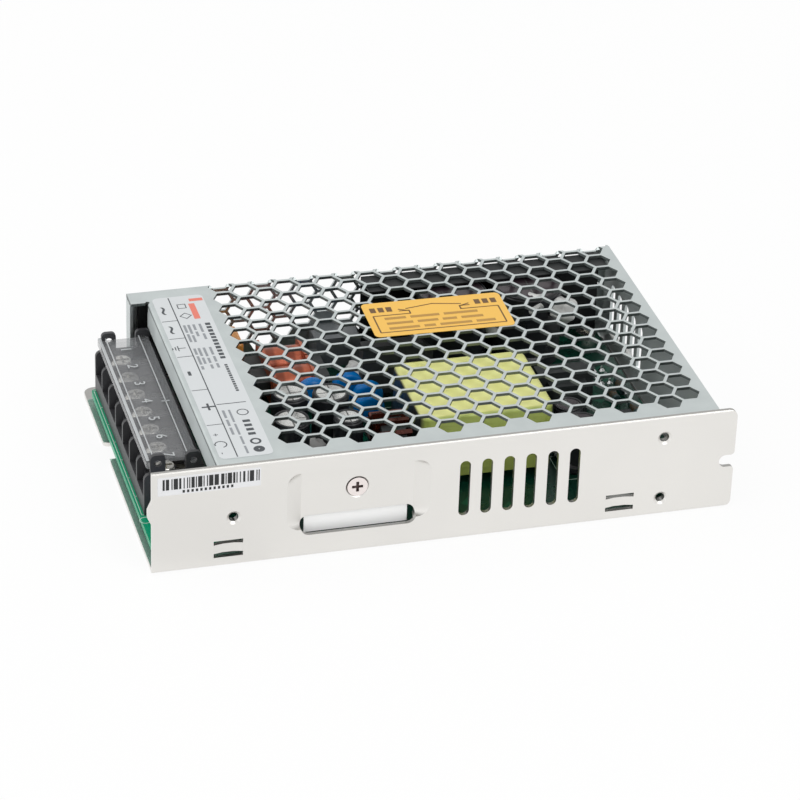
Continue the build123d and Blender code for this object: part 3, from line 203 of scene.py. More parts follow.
# grey moulded selector box
materials["greyBox"] = plainMaterial("greyPbtMoulding", {
    "colours": ("#5c6063", "#6a6e71"), "rough": (0.4, 0.5), "ior": 1.57,
    "grain": (0.25, 0.25, 0.25), "depth": 0.015, "patch": 5})

# black polycarbonate sheet: slick, slightly wavy
materials["blackSheet"] = plainMaterial("blackPolycarbonateSheet", {
    "colours": ("#0f1112", "#191b1c"), "rough": (0.42, 0.56), "ior": 1.4,
    "grain": (9, 9, 9), "depth": 0.12, "strength": 0.4, "patch": 12})

# white filled silicone pad: matte, weave of its glass cloth just showing
materials["pad"] = plainMaterial("whiteSiliconePad", {
    "colours": ("#fafaf9", "#ffffff"), "rough": (0.6, 0.7), "ior": 1.41,
    "grain": (0.4, 0.4, 0.4), "depth": 0.02, "patch": 6})

# MnZn ferrite under varnish: near black, dry, fine pores
materials["ferrite"] = plainMaterial("sinteredFerrite", {
    "colours": ("#1d2122", "#292e2e"), "rough": (0.5, 0.65), "ior": 1.5,
    "grain": (0.25, 0.25, 0.25), "depth": 0.015, "patch": 3})

# blue epoxy dip of disc capacitors: glossy, slightly lumpy
materials["blueDip"] = plainMaterial("blueEpoxyDip", {
    "colours": ("#0070c0", "#0084d6"), "rough": (0.16, 0.24), "ior": 1.36, "coat": 0.08,
    "grain": (1.5, 1.5, 1.5), "depth": 0.05, "patch": 3})

# dark lacquer dip of the thermistor
materials["darkDip"] = plainMaterial("blackSiliconeLacquer", {
    "colours": ("#1d2a24", "#28372f"), "rough": (0.3, 0.42), "ior": 1.5,
    "grain": (1.2, 1.2, 1.2), "depth": 0.05, "patch": 3})

# orange epoxy-filled film capacitor box
materials["filmCap"] = plainMaterial("orangePolyesterBox", {
    "colours": ("#d98c39", "#e9a352"), "rough": (0.3, 0.42), "ior": 1.55,
    "grain": (0.5, 0.5, 0.5), "depth": 0.01, "patch": 5})

# translucent polyester film, slick, tinted green-grey as a painted reflection of the green board above it
materials["film"], tree, shader, where, tone, bump = startMaterial("clearFilmPaintedGreen", {
    "colours": ("#8fbdaa", "#b3d2c5"), "rough": (0.2, 0.32), "ior": 1.5,
    "grain": (12, 12, 12), "depth": 0.1, "strength": 0.3, "patch": 14})
shader.inputs["Alpha"].default_value = 0.5

# clear polycarbonate lid: see-through, its grey a painted reflection of the bright room, thicker and
# brighter at the edges
materials["lid"], tree, shader, where, tone, bump = startMaterial("clearPolycarbonate", {
    "colours": ("#8a8b8d", "#98999b"), "rough": (0.05, 0.1), "ior": 1.585,
    "grain": (7, 7, 7), "depth": 0.04, "strength": 0.25, "patch": 20})
edgeOn = addNode(tree, "ShaderNodeLayerWeight", None, {"Blend": 0.35})
cover = addNode(tree, "ShaderNodeMapRange", None, {"To Min": 0.2, "To Max": 0.62},
                {"Value": edgeOn.outputs["Facing"]})
tree.links.new(cover.outputs["Result"], shader.inputs["Alpha"])

# green lamp of cast epoxy: tinted, glossy
materials["lamp"], tree, shader, where, tone, bump = startMaterial("greenCastEpoxyLens", {
    "colours": ("#2d9a4a", "#37ab56"), "rough": (0.08, 0.14), "ior": 1.52,
    "grain": (1, 1, 1), "depth": 0.004, "patch": 2})
shader.inputs["Alpha"].default_value = 0.85

# solder resist over copper tracks: green gloss in square runs, kept deep green as painted shade under the
# mesh and turned bright green as painted light at the open terminal end
materials["board"], tree, shader, where, tone, bump = startMaterial("greenSolderResist", {
    "colours": ("#0a4c39", "#0c5a43"), "rough": (0.24, 0.36), "ior": 1.45,
    "grain": (0.6, 0.6, 0.6), "depth": 0.006, "strength": 0.3, "patch": 9})
boardLook = {"trackRun": 7.0, "litFrom": -0.055, "litTo": -0.064}
tracks = addNode(tree, "ShaderNodeTexVoronoi", {"distance": "MANHATTAN", "feature": "F1"},
                 {"Scale": 1000 / boardLook["trackRun"], "Randomness": 0.85},
                 {"Vector": where.outputs["Object"]})
trackEdge = addNode(tree, "ShaderNodeMapRange", None,
                    {"From Min": 0.42, "From Max": 0.46, "To Min": 0.0, "To Max": 1.0},
                    {"Value": tracks.outputs["Distance"]})
resist = addNode(tree, "ShaderNodeMix", {"data_type": "RGBA"}, {"B": toLinear("#083b2d")},
                 {"Factor": trackEdge.outputs["Result"], "A": tone.outputs["Result"]})
along = addNode(tree, "ShaderNodeSeparateXYZ", None, None, {"Vector": where.outputs["Object"]})
# painted light: the board turns bright green towards its open terminal end, outside the mesh's shade
litEndShare = addNode(tree, "ShaderNodeMapRange", None,
                  {"From Min": boardLook["litFrom"], "From Max": boardLook["litTo"]},
                  {"Value": along.outputs["X"]})
litEndTone = addNode(tree, "ShaderNodeMix", {"data_type": "RGBA"}, {"B": toLinear("#029a6e")},
                {"Factor": litEndShare.outputs["Result"], "A": resist.outputs["Result"]})
tree.links.new(litEndTone.outputs["Result"], shader.inputs["Base Color"])

# enamelled copper wire wound in close turns along x, red-orange and glossy, with painted shade darkening it
# between the turns
materials["coil"], tree, shader, where, tone, bump = startMaterial("enamelledCopperTurns", {
    "colours": ("#a64d32", "#cb714e"), "metallic": 0.4, "rough": (0.28, 0.4),
    "grain": (0.3, 4, 4), "depth": 0.01, "patch": 3})
coilLook = {"turn": 0.9, "ridge": 0.00025, "between": "#5c2112"}
turns = addNode(tree, "ShaderNodeTexWave", {"bands_direction": "X", "wave_profile": "SIN"},
                {"Scale": 1000 / coilLook["turn"] / 20, "Distortion": 0.3, "Detail": 1.0},
                {"Vector": where.outputs["Object"]})
ridges = addNode(tree, "ShaderNodeBump", None, {"Strength": 0.8, "Distance": coilLook["ridge"]},
                 {"Height": turns.outputs["Fac"], "Normal": bump.outputs["Normal"]})
tree.links.new(ridges.outputs["Normal"], shader.inputs["Normal"])
between = addNode(tree, "ShaderNodeMapRange", None,
                  {"From Min": 0.2, "From Max": 0.6, "To Min": 0.6, "To Max": 0.0},
                  {"Value": turns.outputs["Fac"]})
shaded = addNode(tree, "ShaderNodeMix", {"data_type": "RGBA"}, {"B": toLinear(coilLook["between"])},
                 {"Factor": between.outputs["Result"], "A": tone.outputs["Result"]})
tree.links.new(shaded.outputs["Result"], shader.inputs["Base Color"])

# thick enamelled wire of the ring inductor, dark brown-red
materials["wire"] = plainMaterial("darkEnamelledCopper", {
    "colours": ("#32130b", "#5a2415"), "metallic": 0.5, "rough": (0.2, 0.3),
    "grain": (0.5, 0.5, 0.5), "depth": 0.008, "patch": 4})

# pale yellow polyester tape on the transformer: satin and wavy, with olive painted shade on its sides along
# y, and the bare core at both ends
materials["tape"], tree, shader, where, tone, bump = startMaterial("yellowPolyesterTape", {
    "colours": ("#eaea86", "#f8f8ae"), "rough": (0.26, 0.4), "ior": 1.55,
    "grain": (5, 5, 1.5), "depth": 0.35, "strength": 0.6, "patch": 6})
sided = mixByNormal(tree, shader, tone,
                    {"axis": "Y", "both": True, "start": 0.3, "end": 0.7, "colour": "#b9c866"})
mixByNormal(tree, shader, sided,
            {"axis": "X", "both": True, "start": 0.65, "end": 0.95, "colour": "#2a312e"})

# heat-shrunk PVC sleeve: black, soft gloss
materials["sleeve"] = plainMaterial("blackPvcSleeve", {
    "colours": ("#1a1b1e", "#26282c"), "rough": (0.25, 0.38), "ior": 1.53,
    "grain": (2, 2, 6), "depth": 0.02, "patch": 6})

# top of a long can under its dark sleeve, a brown-violet painted sheen on the dark
materials["darkTop"] = plainMaterial("darkSleeveTopPaintedSheen", {
    "colours": ("#2a2126", "#3d3038"), "rough": (0.26, 0.36), "ior": 1.53,
    "grain": (2, 2, 2), "depth": 0.02, "patch": 3})

# floor of the pressed vent grooves: the same metal, painted darker as the shade in the grooves
materials["canGroove"] = plainMaterial("groovePaintedShade", {
    "colours": ("#6e6f6d", "#838482"), "metallic": 0.7, "rough": (0.4, 0.5),
    "grain": (0.4, 0.4, 0.4), "depth": 0.006, "patch": 3})

# drawn aluminium can top: bright with a slight haze
materials["canTop"] = plainMaterial("drawnAluminiumCan", {
    "colours": ("#d3d3d0", "#e4e4e1"), "metallic": 1.0, "rough": (0.2, 0.34),
    "grain": (0.4, 0.4, 0.4), "depth": 0.006, "patch": 3})

# silver grey label foil: smooth, satin, almost the tone of the cover
materials["ratingLabel"] = plainMaterial("silverGreyPolyesterLabel", {
    "colours": ("#c9cccd", "#d1d4d5"), "rough": (0.38, 0.48), "ior": 1.5,
    "grain": (0.5, 0.5, 0.5), "depth": 0.004, "patch": 20})

# yellow label film: flat and even, a soft sheen
materials["sticker"] = plainMaterial("yellowPolyesterLabel", {
    "colours": ("#e7b44b", "#edbc55"), "rough": (0.4, 0.5), "ior": 1.45,
    "grain": (0.5, 0.5, 0.5), "depth": 0.004, "patch": 18})

# white label paper: matt
materials["whiteLabel"] = plainMaterial("whitePaperLabel", {
    "colours": ("#dcdcde", "#e3e3e5"), "rough": (0.5, 0.6), "ior": 1.45,
    "grain": (0.2, 0.2, 0.2), "depth": 0.004, "patch": 12})

# inks: thin, flat and a little glossier than the label under them
materials["ink"] = plainMaterial("darkGreyScreenInk", {
    "colours": ("#33373b", "#43484c"), "rough": (0.45, 0.6), "ior": 1.5,
    "grain": (0.3, 0.3, 0.3), "depth": 0.003, "patch": 3})
materials["paleInk"] = plainMaterial("paleGreyScreenInk", {
    "colours": ("#83878a", "#92969a"), "rough": (0.45, 0.6), "ior": 1.5,
    "grain": (0.3, 0.3, 0.3), "depth": 0.003, "patch": 3})

# clamp screw: pinkish nickel face round a dark, unlit cross recess
materials["clampFace"], tree, shader, where, tone, bump = startMaterial("brushedNickelHead", {
    "colours": ("#e8dedb", "#f0e8e5"), "metallic": 0.6, "rough": (0.3, 0.4),
    "grain": (0.25, 0.25, 0.25), "depth": 0.006, "patch": 2})
across = addNode(tree, "ShaderNodeSeparateXYZ", None, None, {"Vector": where.outputs["Object"]})
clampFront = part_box("clamp_screw")[0].y
clampLook = {"recessFrom": 0.0001, "recessTo": 0.0003, "recess": "#4a3733", "metal": 0.6}
sunk = addNode(tree, "ShaderNodeMapRange", None, {"From Min": clampFront + clampLook["recessFrom"],
                "From Max": clampFront + clampLook["recessTo"]}, {"Value": across.outputs["Y"]})
recess = addNode(tree, "ShaderNodeMix", {"data_type": "RGBA"}, {"B": toLinear(clampLook["recess"])},
                 {"Factor": sunk.outputs["Result"], "A": tone.outputs["Result"]})
tree.links.new(recess.outputs["Result"], shader.inputs["Base Color"])
shine = addNode(tree, "ShaderNodeMapRange", None, {"To Min": clampLook["metal"], "To Max": 0.0},
                {"Value": sunk.outputs["Result"]})
tree.links.new(shine.outputs["Result"], shader.inputs["Metallic"])

# more inks: black thermal print, red and brown screen inks, white board legend
materials["blackInk"] = plainMaterial("blackThermalPrint", {
    "colours": ("#17181a", "#242628"), "rough": (0.5, 0.62), "ior": 1.5,
    "grain": (0.3, 0.3, 0.3), "depth": 0.003, "patch": 3})
materials["redInk"] = plainMaterial("redScreenInk", {
    "colours": ("#d9705f", "#e07f6e"), "rough": (0.45, 0.6), "ior": 1.5,
    "grain": (0.3, 0.3, 0.3), "depth": 0.003, "patch": 3})
materials["brownInk"] = plainMaterial("brownScreenInk", {
    "colours": ("#5a3c16", "#6b4a1f"), "rough": (0.45, 0.6), "ior": 1.5,
    "grain": (0.3, 0.3, 0.3), "depth": 0.003, "patch": 3})
materials["tanInk"] = plainMaterial("tanScreenInk", {
    "colours": ("#a9803a", "#b58b42"), "rough": (0.45, 0.6), "ior": 1.45,
    "grain": (0.3, 0.3, 0.3), "depth": 0.003, "patch": 3})
materials["whiteInk"] = plainMaterial("whiteLegendInk", {
    "colours": ("#b9d8c6", "#cfe6d8"), "rough": (0.4, 0.5), "ior": 1.5,
    "grain": (0.3, 0.3, 0.3), "depth": 0.003, "patch": 3})

# solder: bright, smooth fillets
materials["solder"] = plainMaterial("tinSolder", {
    "colours": ("#c6c8c8", "#dadbda"), "metallic": 1.0, "rough": (0.16, 0.3),
    "grain": (0.8, 0.8, 0.8), "depth": 0.02, "patch": 1})

# frosted ridges of the clear lid: the same plastic, whitened by its rough mould face; on the rim along the
# lid's left edge it is a painted highlight
materials["lidRidge"] = plainMaterial("frostedRidgeAndRimHighlight", {
    "colours": ("#a9acad", "#bbbebf"), "rough": (0.3, 0.42), "ior": 1.585,
    "grain": (0.3, 0.3, 0.3), "depth": 0.01, "patch": 5})

# metal film resistors: dull dark teal lacquer
materials["resistor"] = plainMaterial("lacqueredMetalFilm", {
    "colours": ("#2a3f3f", "#365050"), "rough": (0.3, 0.42), "ior": 1.5,
    "grain": (0.8, 0.8, 0.8), "depth": 0.02, "patch": 3})

# white neutral-cure silicone: soft blobs with a dull skin
materials["silicone"] = plainMaterial("whiteSiliconeSealant", {
    "colours": ("#d9d9d6", "#e8e8e6"), "rough": (0.4, 0.55), "ior": 1.41,
    "grain": (1.6, 1.6, 1.6), "depth": 0.1, "patch": 4})

print("materials made:", len(materials))

nodeLooks = {
    "chassis": "chassis", "mesh_cover": "cover", "clamp_screw": "clampFace", "clamp_bar": "cover",
    "insulating_pad": "pad", "rectifier_1": "epoxy", "rectifier_2": "epoxy", "cover_screws": "screw",
    "insulating_film": "film", "circuit_board": "board", "board_screws": "screw",
    "terminal_block": "block", "terminal_lid": "lid", "terminal_contacts": "contact",
    "trimmer_body": "trimmer", "trimmer_rotor": "rotor", "led": "lamp", "voltage_switch_body": "greyBox",
    "voltage_switch_slider": "knob", "fuse": "epoxy", "thermistor": "darkDip", "x_capacitor": "filmCap",
    "choke_core": "ferrite", "bridge_rectifier": "epoxy", "transformer": "tape",
    "transformer_base": "block", "toroid_core": "ferrite", "toroid_winding": "wire",
    "side_insulator": "blackSheet", "input_insulator": "blackSheet", "rating_label": "ratingLabel",
    "voltage_sticker": "sticker", "barcode_sticker": "whiteLabel", "driver_transformer": "ferrite",
    "control_chip": "epoxy"}
# numbered nodes go by the first word of their name, and the cans take the sleeve
familyLooks = {"terminal": "screw", "choke": "coil", "optocoupler": "epoxy", "y": "blueDip"}
for name, node in nodes.items():
    look = nodeLooks.get(name) or familyLooks.get(name.split("_")[0], "sleeve")
    for slot in node.material_slots:
        slot.material = materials[look]
print("materials given to the nodes")


def finishPiece(name, shape, look, body="case", smooth=True):
    mesh = bpy.data.meshes.new(name)
    bmesh.ops.recalc_face_normals(shape, faces=shape.faces)
    for face in shape.faces:
        face.smooth = smooth
    shape.to_mesh(mesh)
    shape.free()
    if smooth:
        mesh.set_sharp_from_angle(angle=math.radians(35))
    mesh.materials.append(materials[look])
    piece = bpy.data.objects.new(name, mesh)
    scene.collection.objects.link(piece)
    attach(piece, body)
    return piece


def addBar(shape, centre, size, turn=0.0):
    # centre and size in mm, turn in degrees about z
    place = Matrix.Translation(spot(*centre)) @ Matrix.Rotation(math.radians(turn), 4, "Z")
    place = place @ Matrix.Diagonal([s / 1000 for s in size] + [1])
    return bmesh.ops.create_cube(shape, size=1.0, matrix=place)["verts"]


def addRod(shape, start, end, radius, sides=12):
    # a round rod between two places in mm
    a, b = spot(*start), spot(*end)
    along = b - a
    place = Matrix.Translation((a + b) / 2) @ along.to_track_quat("Z", "Y").to_matrix().to_4x4()
    return bmesh.ops.create_cone(shape, cap_ends=True, segments=sides, radius1=radius / 1000,
                                 radius2=radius / 1000, depth=along.length, matrix=place)["verts"]


def addQuarter(shape, centre, radius, top, quarter, groove, thick):
    # one quarter of a pressed can top, left between the grooves of its vent
    start = set(shape.faces)
    bmesh.ops.create_circle(shape, cap_ends=True, segments=32, radius=radius / 1000,
                            matrix=Matrix.Translation(spot(centre[0], centre[1], top)))
    plate = [face for face in shape.faces if face not in start]
    for angle, sense in ((math.radians(90 * quarter), 1), (math.radians(90 * quarter + 90), -1)):
        away = Vector((math.cos(angle), math.sin(angle), 0)) * sense
        side = Vector((-away.y, away.x, 0))
        edges = {edge for face in plate for edge in face.edges}
        verts = {vert for face in plate for vert in face.verts}
        bmesh.ops.bisect_plane(shape, geom=list(verts) + list(edges) + plate,
                               plane_co=spot(centre[0], centre[1], top) + side * groove / 2000,
                               plane_no=side, clear_inner=True)
        plate = [face for face in shape.faces if face not in start]
    raised = bmesh.ops.extrude_face_region(shape, geom=plate)["geom"]
    bmesh.ops.translate(shape, verts=[v for v in raised if isinstance(v, bmesh.types.BMVert)],
                        vec=(0, 0, thick / 1000))


def addText(shape, words, centre, size, turn, thick):
    # plain figures or signs, cut out of the built-in font, centre and size in mm
    curve = bpy.data.curves.new(words, "FONT")
    curve.body = words
    curve.align_x, curve.align_y = "CENTER", "CENTER"
    curve.size = size / 1000
    curve.extrude = thick / 2000
    curve.resolution_u = 3
    holder = bpy.data.objects.new(words, curve)
    mesh = bpy.data.meshes.new_from_object(holder)
    mesh.transform(Matrix.Translation(spot(*centre)) @ Matrix.Rotation(math.radians(turn), 4, "Z"))
    shape.from_mesh(mesh)
    bpy.data.objects.remove(holder)
    bpy.data.curves.remove(curve)
    bpy.data.meshes.remove(mesh)


def addRing(shape, centre, outer, inner, top, thick, sides=28):
    # a flat printed ring
    place = Matrix.Translation(spot(centre[0], centre[1], top))
    loops = []
    for radius in (outer, inner):
        made = bmesh.ops.create_circle(shape, segments=sides, radius=radius / 1000, matrix=place)["verts"]
        loops += list({edge for vert in made for edge in vert.link_edges})
    band = bmesh.ops.bridge_loops(shape, edges=loops)["faces"]
    raised = bmesh.ops.extrude_face_region(shape, geom=band)["geom"]
    bmesh.ops.translate(shape, verts=[v for v in raised if isinstance(v, bmesh.types.BMVert)],
                        vec=(0, 0, thick / 1000))


# print on the rating label: rules, plain signs and grey bars where text would run
# signs are (sign, x, y, size), rows (x, width, start y, lengths), red bars (x, y, width, length)
labelPrint = {
    "thick": 0.02, "lift": 0.005, "rule": 0.3, "thin": 0.28, "signTurn": -90,
    "long": 24.5, "near": 4.6, "far": 91.2, "left": 20.1,
    "crosses": (78.2, 68.3, 58.2, 39.9, 21.5), "crossShare": 0.8,
    "rightRule": {"x": 28.9, "y": 31.5, "length": 7.9},
    "signs": (("~", 22.0, 84.2, 8.0), ("~", 22.0, 73.2, 8.0), ("-", 22.2, 49.0, 9.0),
              ("+", 22.2, 30.8, 7.5), ("+", 21.2, 16.4, 2.6), ("-", 21.2, 7.0, 2.6)),
    "earth": {"x": 21.4, "y": 62.9, "bars": (2.7, 1.8, 0.9), "step": 0.75, "stemX": 22.5, "stem": 1.9},
    "arrow": {"x": 21.6, "y": 11.4, "radius": 1.5, "start": -60, "step": 30, "bars": 9, "length": 0.85},
    "rows": ((32.1, 1.4, 75.4, (1.3, 1.2, 1.4, 1.3, 1.1, 1.3, 1.2, 1.4, 1.2, 1.3, 1.2)),
             (32.0, 0.8, 52.0, (0.8, 0.7, 0.9, 0.8, 0.7, 0.9, 0.8, 0.7, 0.8, 0.9, 0.7, 0.8, 0.8))),
    "rowGap": 0.45,
    "fineRows": ((29.9, 0.7, 75.2, (4.6, 3.2)), (29.9, 0.7, 62.0, (4.2, 3.0, 2.4)),
                 (28.2, 0.7, 75.2, (3.2, 2.6)), (28.2, 0.7, 62.0, (4.8, 2.8, 2.2)),
                 (26.8, 0.7, 75.2, (5.0, 3.8)), (26.8, 0.7, 62.0, (4.4, 3.4)),
                 (25.6, 0.7, 75.2, (4.2, 4.4)), (25.6, 0.7, 62.0, (3.4, 4.6, 1.8)),
                 (27.5, 0.6, 28.2, (6.4, 5.6, 4.0, 3.8)), (25.9, 0.7, 28.2, (4.0, 3.2, 3.6))),
    "fineGap": 0.9,
    "blocks": {"x": 30.7, "y": (21.8, 19.6, 17.4, 15.2), "width": 2.0, "length": 1.2},
    "rings": {"x": 30.8, "spots": ((26.4, 1.6, 1.3), (11.3, 1.5, 0.9), (7.3, 1.5, 0.2))},
    "squares": {"spots": ((27.2, 85.9, 0), (27.2, 80.4, 45)), "reach": 1.1, "side": 2.4, "line": 0.25},
    "redBars": ((31.8, 89.0, 3.8, 1.5), (30.1, 82.6, 1.7, 8.8))}
labelThick = labelPrint["thick"]
labelTop = caseBox("rating_label")[1].z + labelThick / 2 + labelPrint["lift"]


def labelBar(shape, x, y, width, length, turn=0.0):
    addBar(shape, (x, y, labelTop), (width, length, labelThick), turn)


def labelRuns(shape, rows, gap):
    # rows of short bars that stand for lines of print, read towards the near wall
    for x, width, y, runs in rows:
        for run in runs:
            labelBar(shape, x, y - run / 2, width, run)
            y -= run + gap(width)


shape = bmesh.new()
labelRuns(shape, labelPrint["fineRows"], lambda width: labelPrint["fineGap"])
finishPiece("ratingLabelRows", shape, "paleInk", smooth=False)

shape = bmesh.new()
long, rule = labelPrint["long"], labelPrint["rule"]
near, far = labelPrint["near"], labelPrint["far"]
labelBar(shape, long, (near + far) / 2, rule, far - near)
for y in labelPrint["crosses"]:
    labelBar(shape, (labelPrint["left"] + long) / 2, y, long - labelPrint["left"],
             rule * labelPrint["crossShare"])
rightRule = labelPrint["rightRule"]
labelBar(shape, rightRule["x"], rightRule["y"], rightRule["length"], rule)
for words, x, y, size in labelPrint["signs"]:
    addText(shape, words, (x, y, labelTop), size, labelPrint["signTurn"], labelThick)
earth = labelPrint["earth"]
for k, length in enumerate(earth["bars"]):
    labelBar(shape, earth["x"] - earth["step"] * k, earth["y"], labelPrint["thin"], length)
labelBar(shape, earth["stemX"], earth["y"], earth["stem"], labelPrint["thin"])
arrow = labelPrint["arrow"]
for k in range(arrow["bars"]):  # turning arrow of the adjuster
    angle = math.radians(arrow["start"] + arrow["step"] * k)
    x, y = arrow["x"] + arrow["radius"] * math.cos(angle), arrow["y"] + arrow["radius"] * math.sin(angle)
    labelBar(shape, x, y, rule, arrow["length"], math.degrees(angle))
labelRuns(shape, labelPrint["rows"], lambda width: width * labelPrint["rowGap"])
blocks, rings = labelPrint["blocks"], labelPrint["rings"]
for y in blocks["y"]:
    labelBar(shape, blocks["x"], y, blocks["width"], blocks["length"])
for y, outer, inner in rings["spots"]:
    addRing(shape, (rings["x"], y), outer, inner, labelTop - labelThick / 2, labelThick)
squares = labelPrint["squares"]
for x, y, turn in squares["spots"]:
    overX = squares["reach"] * math.cos(math.radians(turn))
    overY = squares["reach"] * math.sin(math.radians(turn))
    for side in (-1, 1):
        labelBar(shape, x + side * overX, y + side * overY, squares["line"], squares["side"], turn)
        labelBar(shape, x - side * overY, y + side * overX, squares["side"], squares["line"], turn)
finishPiece("ratingLabelPrint", shape, "ink", smooth=False)

shape = bmesh.new()
for x, y, width, length in labelPrint["redBars"]:
    labelBar(shape, x, y, width, length)
finishPiece("ratingLabelRed", shape, "redInk", smooth=False)

# yellow sticker: thin frame with two arrow heads over grey-brown bars, turned as the sticker lies
stickerPrint = {
    "middle": (95.2, 66.9), "turn": -1.2, "thick": 0.02, "lift": 0.005, "line": 0.42,
    "frame": (35.6, 9.4), "frameDrop": -2.6,
    "rows": ((2.8, (6.0, 8.2, 9.6)), (0.0, (7.4, 5.8, 4.0, 6.2)), (-2.8, (8.6, 3.2, 9.0, 5.4))),
    "rowStart": -15.0, "rowWidth": 1.25, "rowGap": 1.3,
    "blocks": {"first": 12.6, "step": 2.3, "count": 3, "rise": 3.2, "width": 1.6, "length": 2.6}}
stickerTop = caseBox("voltage_sticker")[1].z + stickerPrint["thick"] / 2 + stickerPrint["lift"]
stickerTurn = Matrix.Rotation(math.radians(stickerPrint["turn"]), 2)


def onSticker(across, along):
    moved = stickerTurn @ Vector((across, along))
    return (stickerPrint["middle"][0] + moved.x, stickerPrint["middle"][1] + moved.y, stickerTop)


def stickerBar(shape, across, along, width, depth, turn=0.0):
    addBar(shape, onSticker(across, along), (width, depth, stickerPrint["thick"]),
           stickerPrint["turn"] + turn)


shape = bmesh.new()
frameWide, frameDeep = stickerPrint["frame"]
line = stickerPrint["line"]
drop = stickerPrint["frameDrop"]
stickerBar(shape, 0, drop - frameDeep / 2, frameWide, line)
# across the sticker, above the frame's top, width, depth and turn of the strokes on either half
strokes = ((frameWide / 2 - 5.4, 0.0, 10.8, line, 0), (7.2, 0.9, line, 1.8, 0), (8.6, 1.8, 3.0, line, 0),
           (8.8, 2.3, 2.8, line, 24), (3.9, 3.6, 8.2, line, -11))
blocks = stickerPrint["blocks"]
for side in (-1, 1):
    stickerBar(shape, side * frameWide / 2, drop, line, frameDeep)
    for across, rise, width, depth, turn in strokes:
        stickerBar(shape, side * across, drop + frameDeep / 2 + rise, width, depth, side * turn)
    for k in range(blocks["count"]):
        across = side * (blocks["first"] + blocks["step"] * k)
        stickerBar(shape, across, drop + frameDeep / 2 + blocks["rise"], blocks["width"], blocks["length"])
rows = bmesh.new()
for along, runs in stickerPrint["rows"]:
    across = stickerPrint["rowStart"]
    for run in runs:
        stickerBar(rows, across + run / 2, drop + along, run, stickerPrint["rowWidth"])
        across += run + stickerPrint["rowGap"]
finishPiece("voltageStickerRows", rows, "tanInk", smooth=False)
finishPiece("voltageStickerPrint", shape, "brownInk", smooth=False)

# barcode of plain random bars on the wall sticker
barcodePrint = {
    "left": 3.9, "right": 29.0, "bottom": 25.0, "top": 28.2, "thick": 0.02, "lift": 0.005,
    "narrow": 0.28, "step": 0.3,
    "dashes": {"count": 12, "left": 9.4, "step": 1.15, "z": 24.2, "length": 0.6, "height": 0.8}}
barcodeFace = caseBox("barcode_sticker")[0].y - barcodePrint["thick"] / 2 - barcodePrint["lift"]
shape = bmesh.new()
x = barcodePrint["left"]
while x < barcodePrint["right"]:
    width = barcodePrint["narrow"] * random.choice((1, 1, 2, 3, 4))
    addBar(shape, (x + width / 2, barcodeFace, (barcodePrint["bottom"] + barcodePrint["top"]) / 2),
           (width, barcodePrint["thick"], barcodePrint["top"] - barcodePrint["bottom"]))
    x += width + barcodePrint["step"] * random.choice((1, 1, 2))
dashes = barcodePrint["dashes"]
for k in range(dashes["count"]):
    addBar(shape, (dashes["left"] + dashes["step"] * k, barcodeFace, dashes["z"]),
           (dashes["length"], barcodePrint["thick"], dashes["height"]))
finishPiece("barcodeBars", shape, "blackInk", smooth=False)

# lid: two moulded ridges, a tick, a painted highlight as a bright rim along its left edge, and the terminal
# figures
lidDetail = {
    "ridges": {"x": (6.1, 15.3), "width": 0.32, "height": 0.14, "sink": 0.02, "margin": 0.8},
    "tick": {"x": 15.3, "y": 50.5, "lift": 0.05, "length": 2.2, "height": 0.14},
    "figures": {"count": 7, "x": 10.3, "first": 8.14, "step": 9.5, "size": 4.2, "turn": -90, "lift": 0.02,
                "thick": 0.1},
    "edgeGlint": {"inset": 0.05, "reach": 0.9, "margin": 0.5, "lift": 0.03, "height": 0.1, "bevel": 0.04}}
lidLow, lidHigh = caseBox("terminal_lid")
lidMiddle = (lidLow.y + lidHigh.y) / 2
lidLength = lidHigh.y - lidLow.y
ridges, tick, figures, edgeGlint = (lidDetail[part] for part in ("ridges", "tick", "figures", "edgeGlint"))
shape = bmesh.new()
for x in ridges["x"]:
    addBar(shape, (x, lidMiddle, lidHigh.z + ridges["height"] / 2 - ridges["sink"]),
           (ridges["width"], lidLength - 2 * ridges["margin"], ridges["height"]))
addBar(shape, (tick["x"], tick["y"], lidHigh.z + tick["lift"]),
       (tick["length"], ridges["width"], tick["height"]))
for k in range(figures["count"]):
    y = lidHigh.y - figures["first"] - figures["step"] * k
    addText(shape, str(k + 1), (figures["x"], y, lidHigh.z + figures["lift"]), figures["size"],
            figures["turn"], figures["thick"])
finishPiece("lidRidges", shape, "lidRidge", body="terminal_lid", smooth=False)

# painted highlight: a whitish bar along the lid's left edge stands for the light caught there
shape = bmesh.new()
addBar(shape, (lidLow.x + (edgeGlint["inset"] + edgeGlint["reach"]) / 2, lidMiddle, lidHigh.z + edgeGlint["lift"]),
       (edgeGlint["reach"] - edgeGlint["inset"], lidLength - 2 * edgeGlint["margin"], edgeGlint["height"]))
bmesh.ops.bevel(shape, geom=list(shape.edges), offset=edgeGlint["bevel"] / 1000, offset_type="OFFSET",
                segments=2, profile=0.5, affect="EDGES", material=-1)
finishPiece("lidEdgeHighlight", shape, "lidRidge", body="terminal_lid")

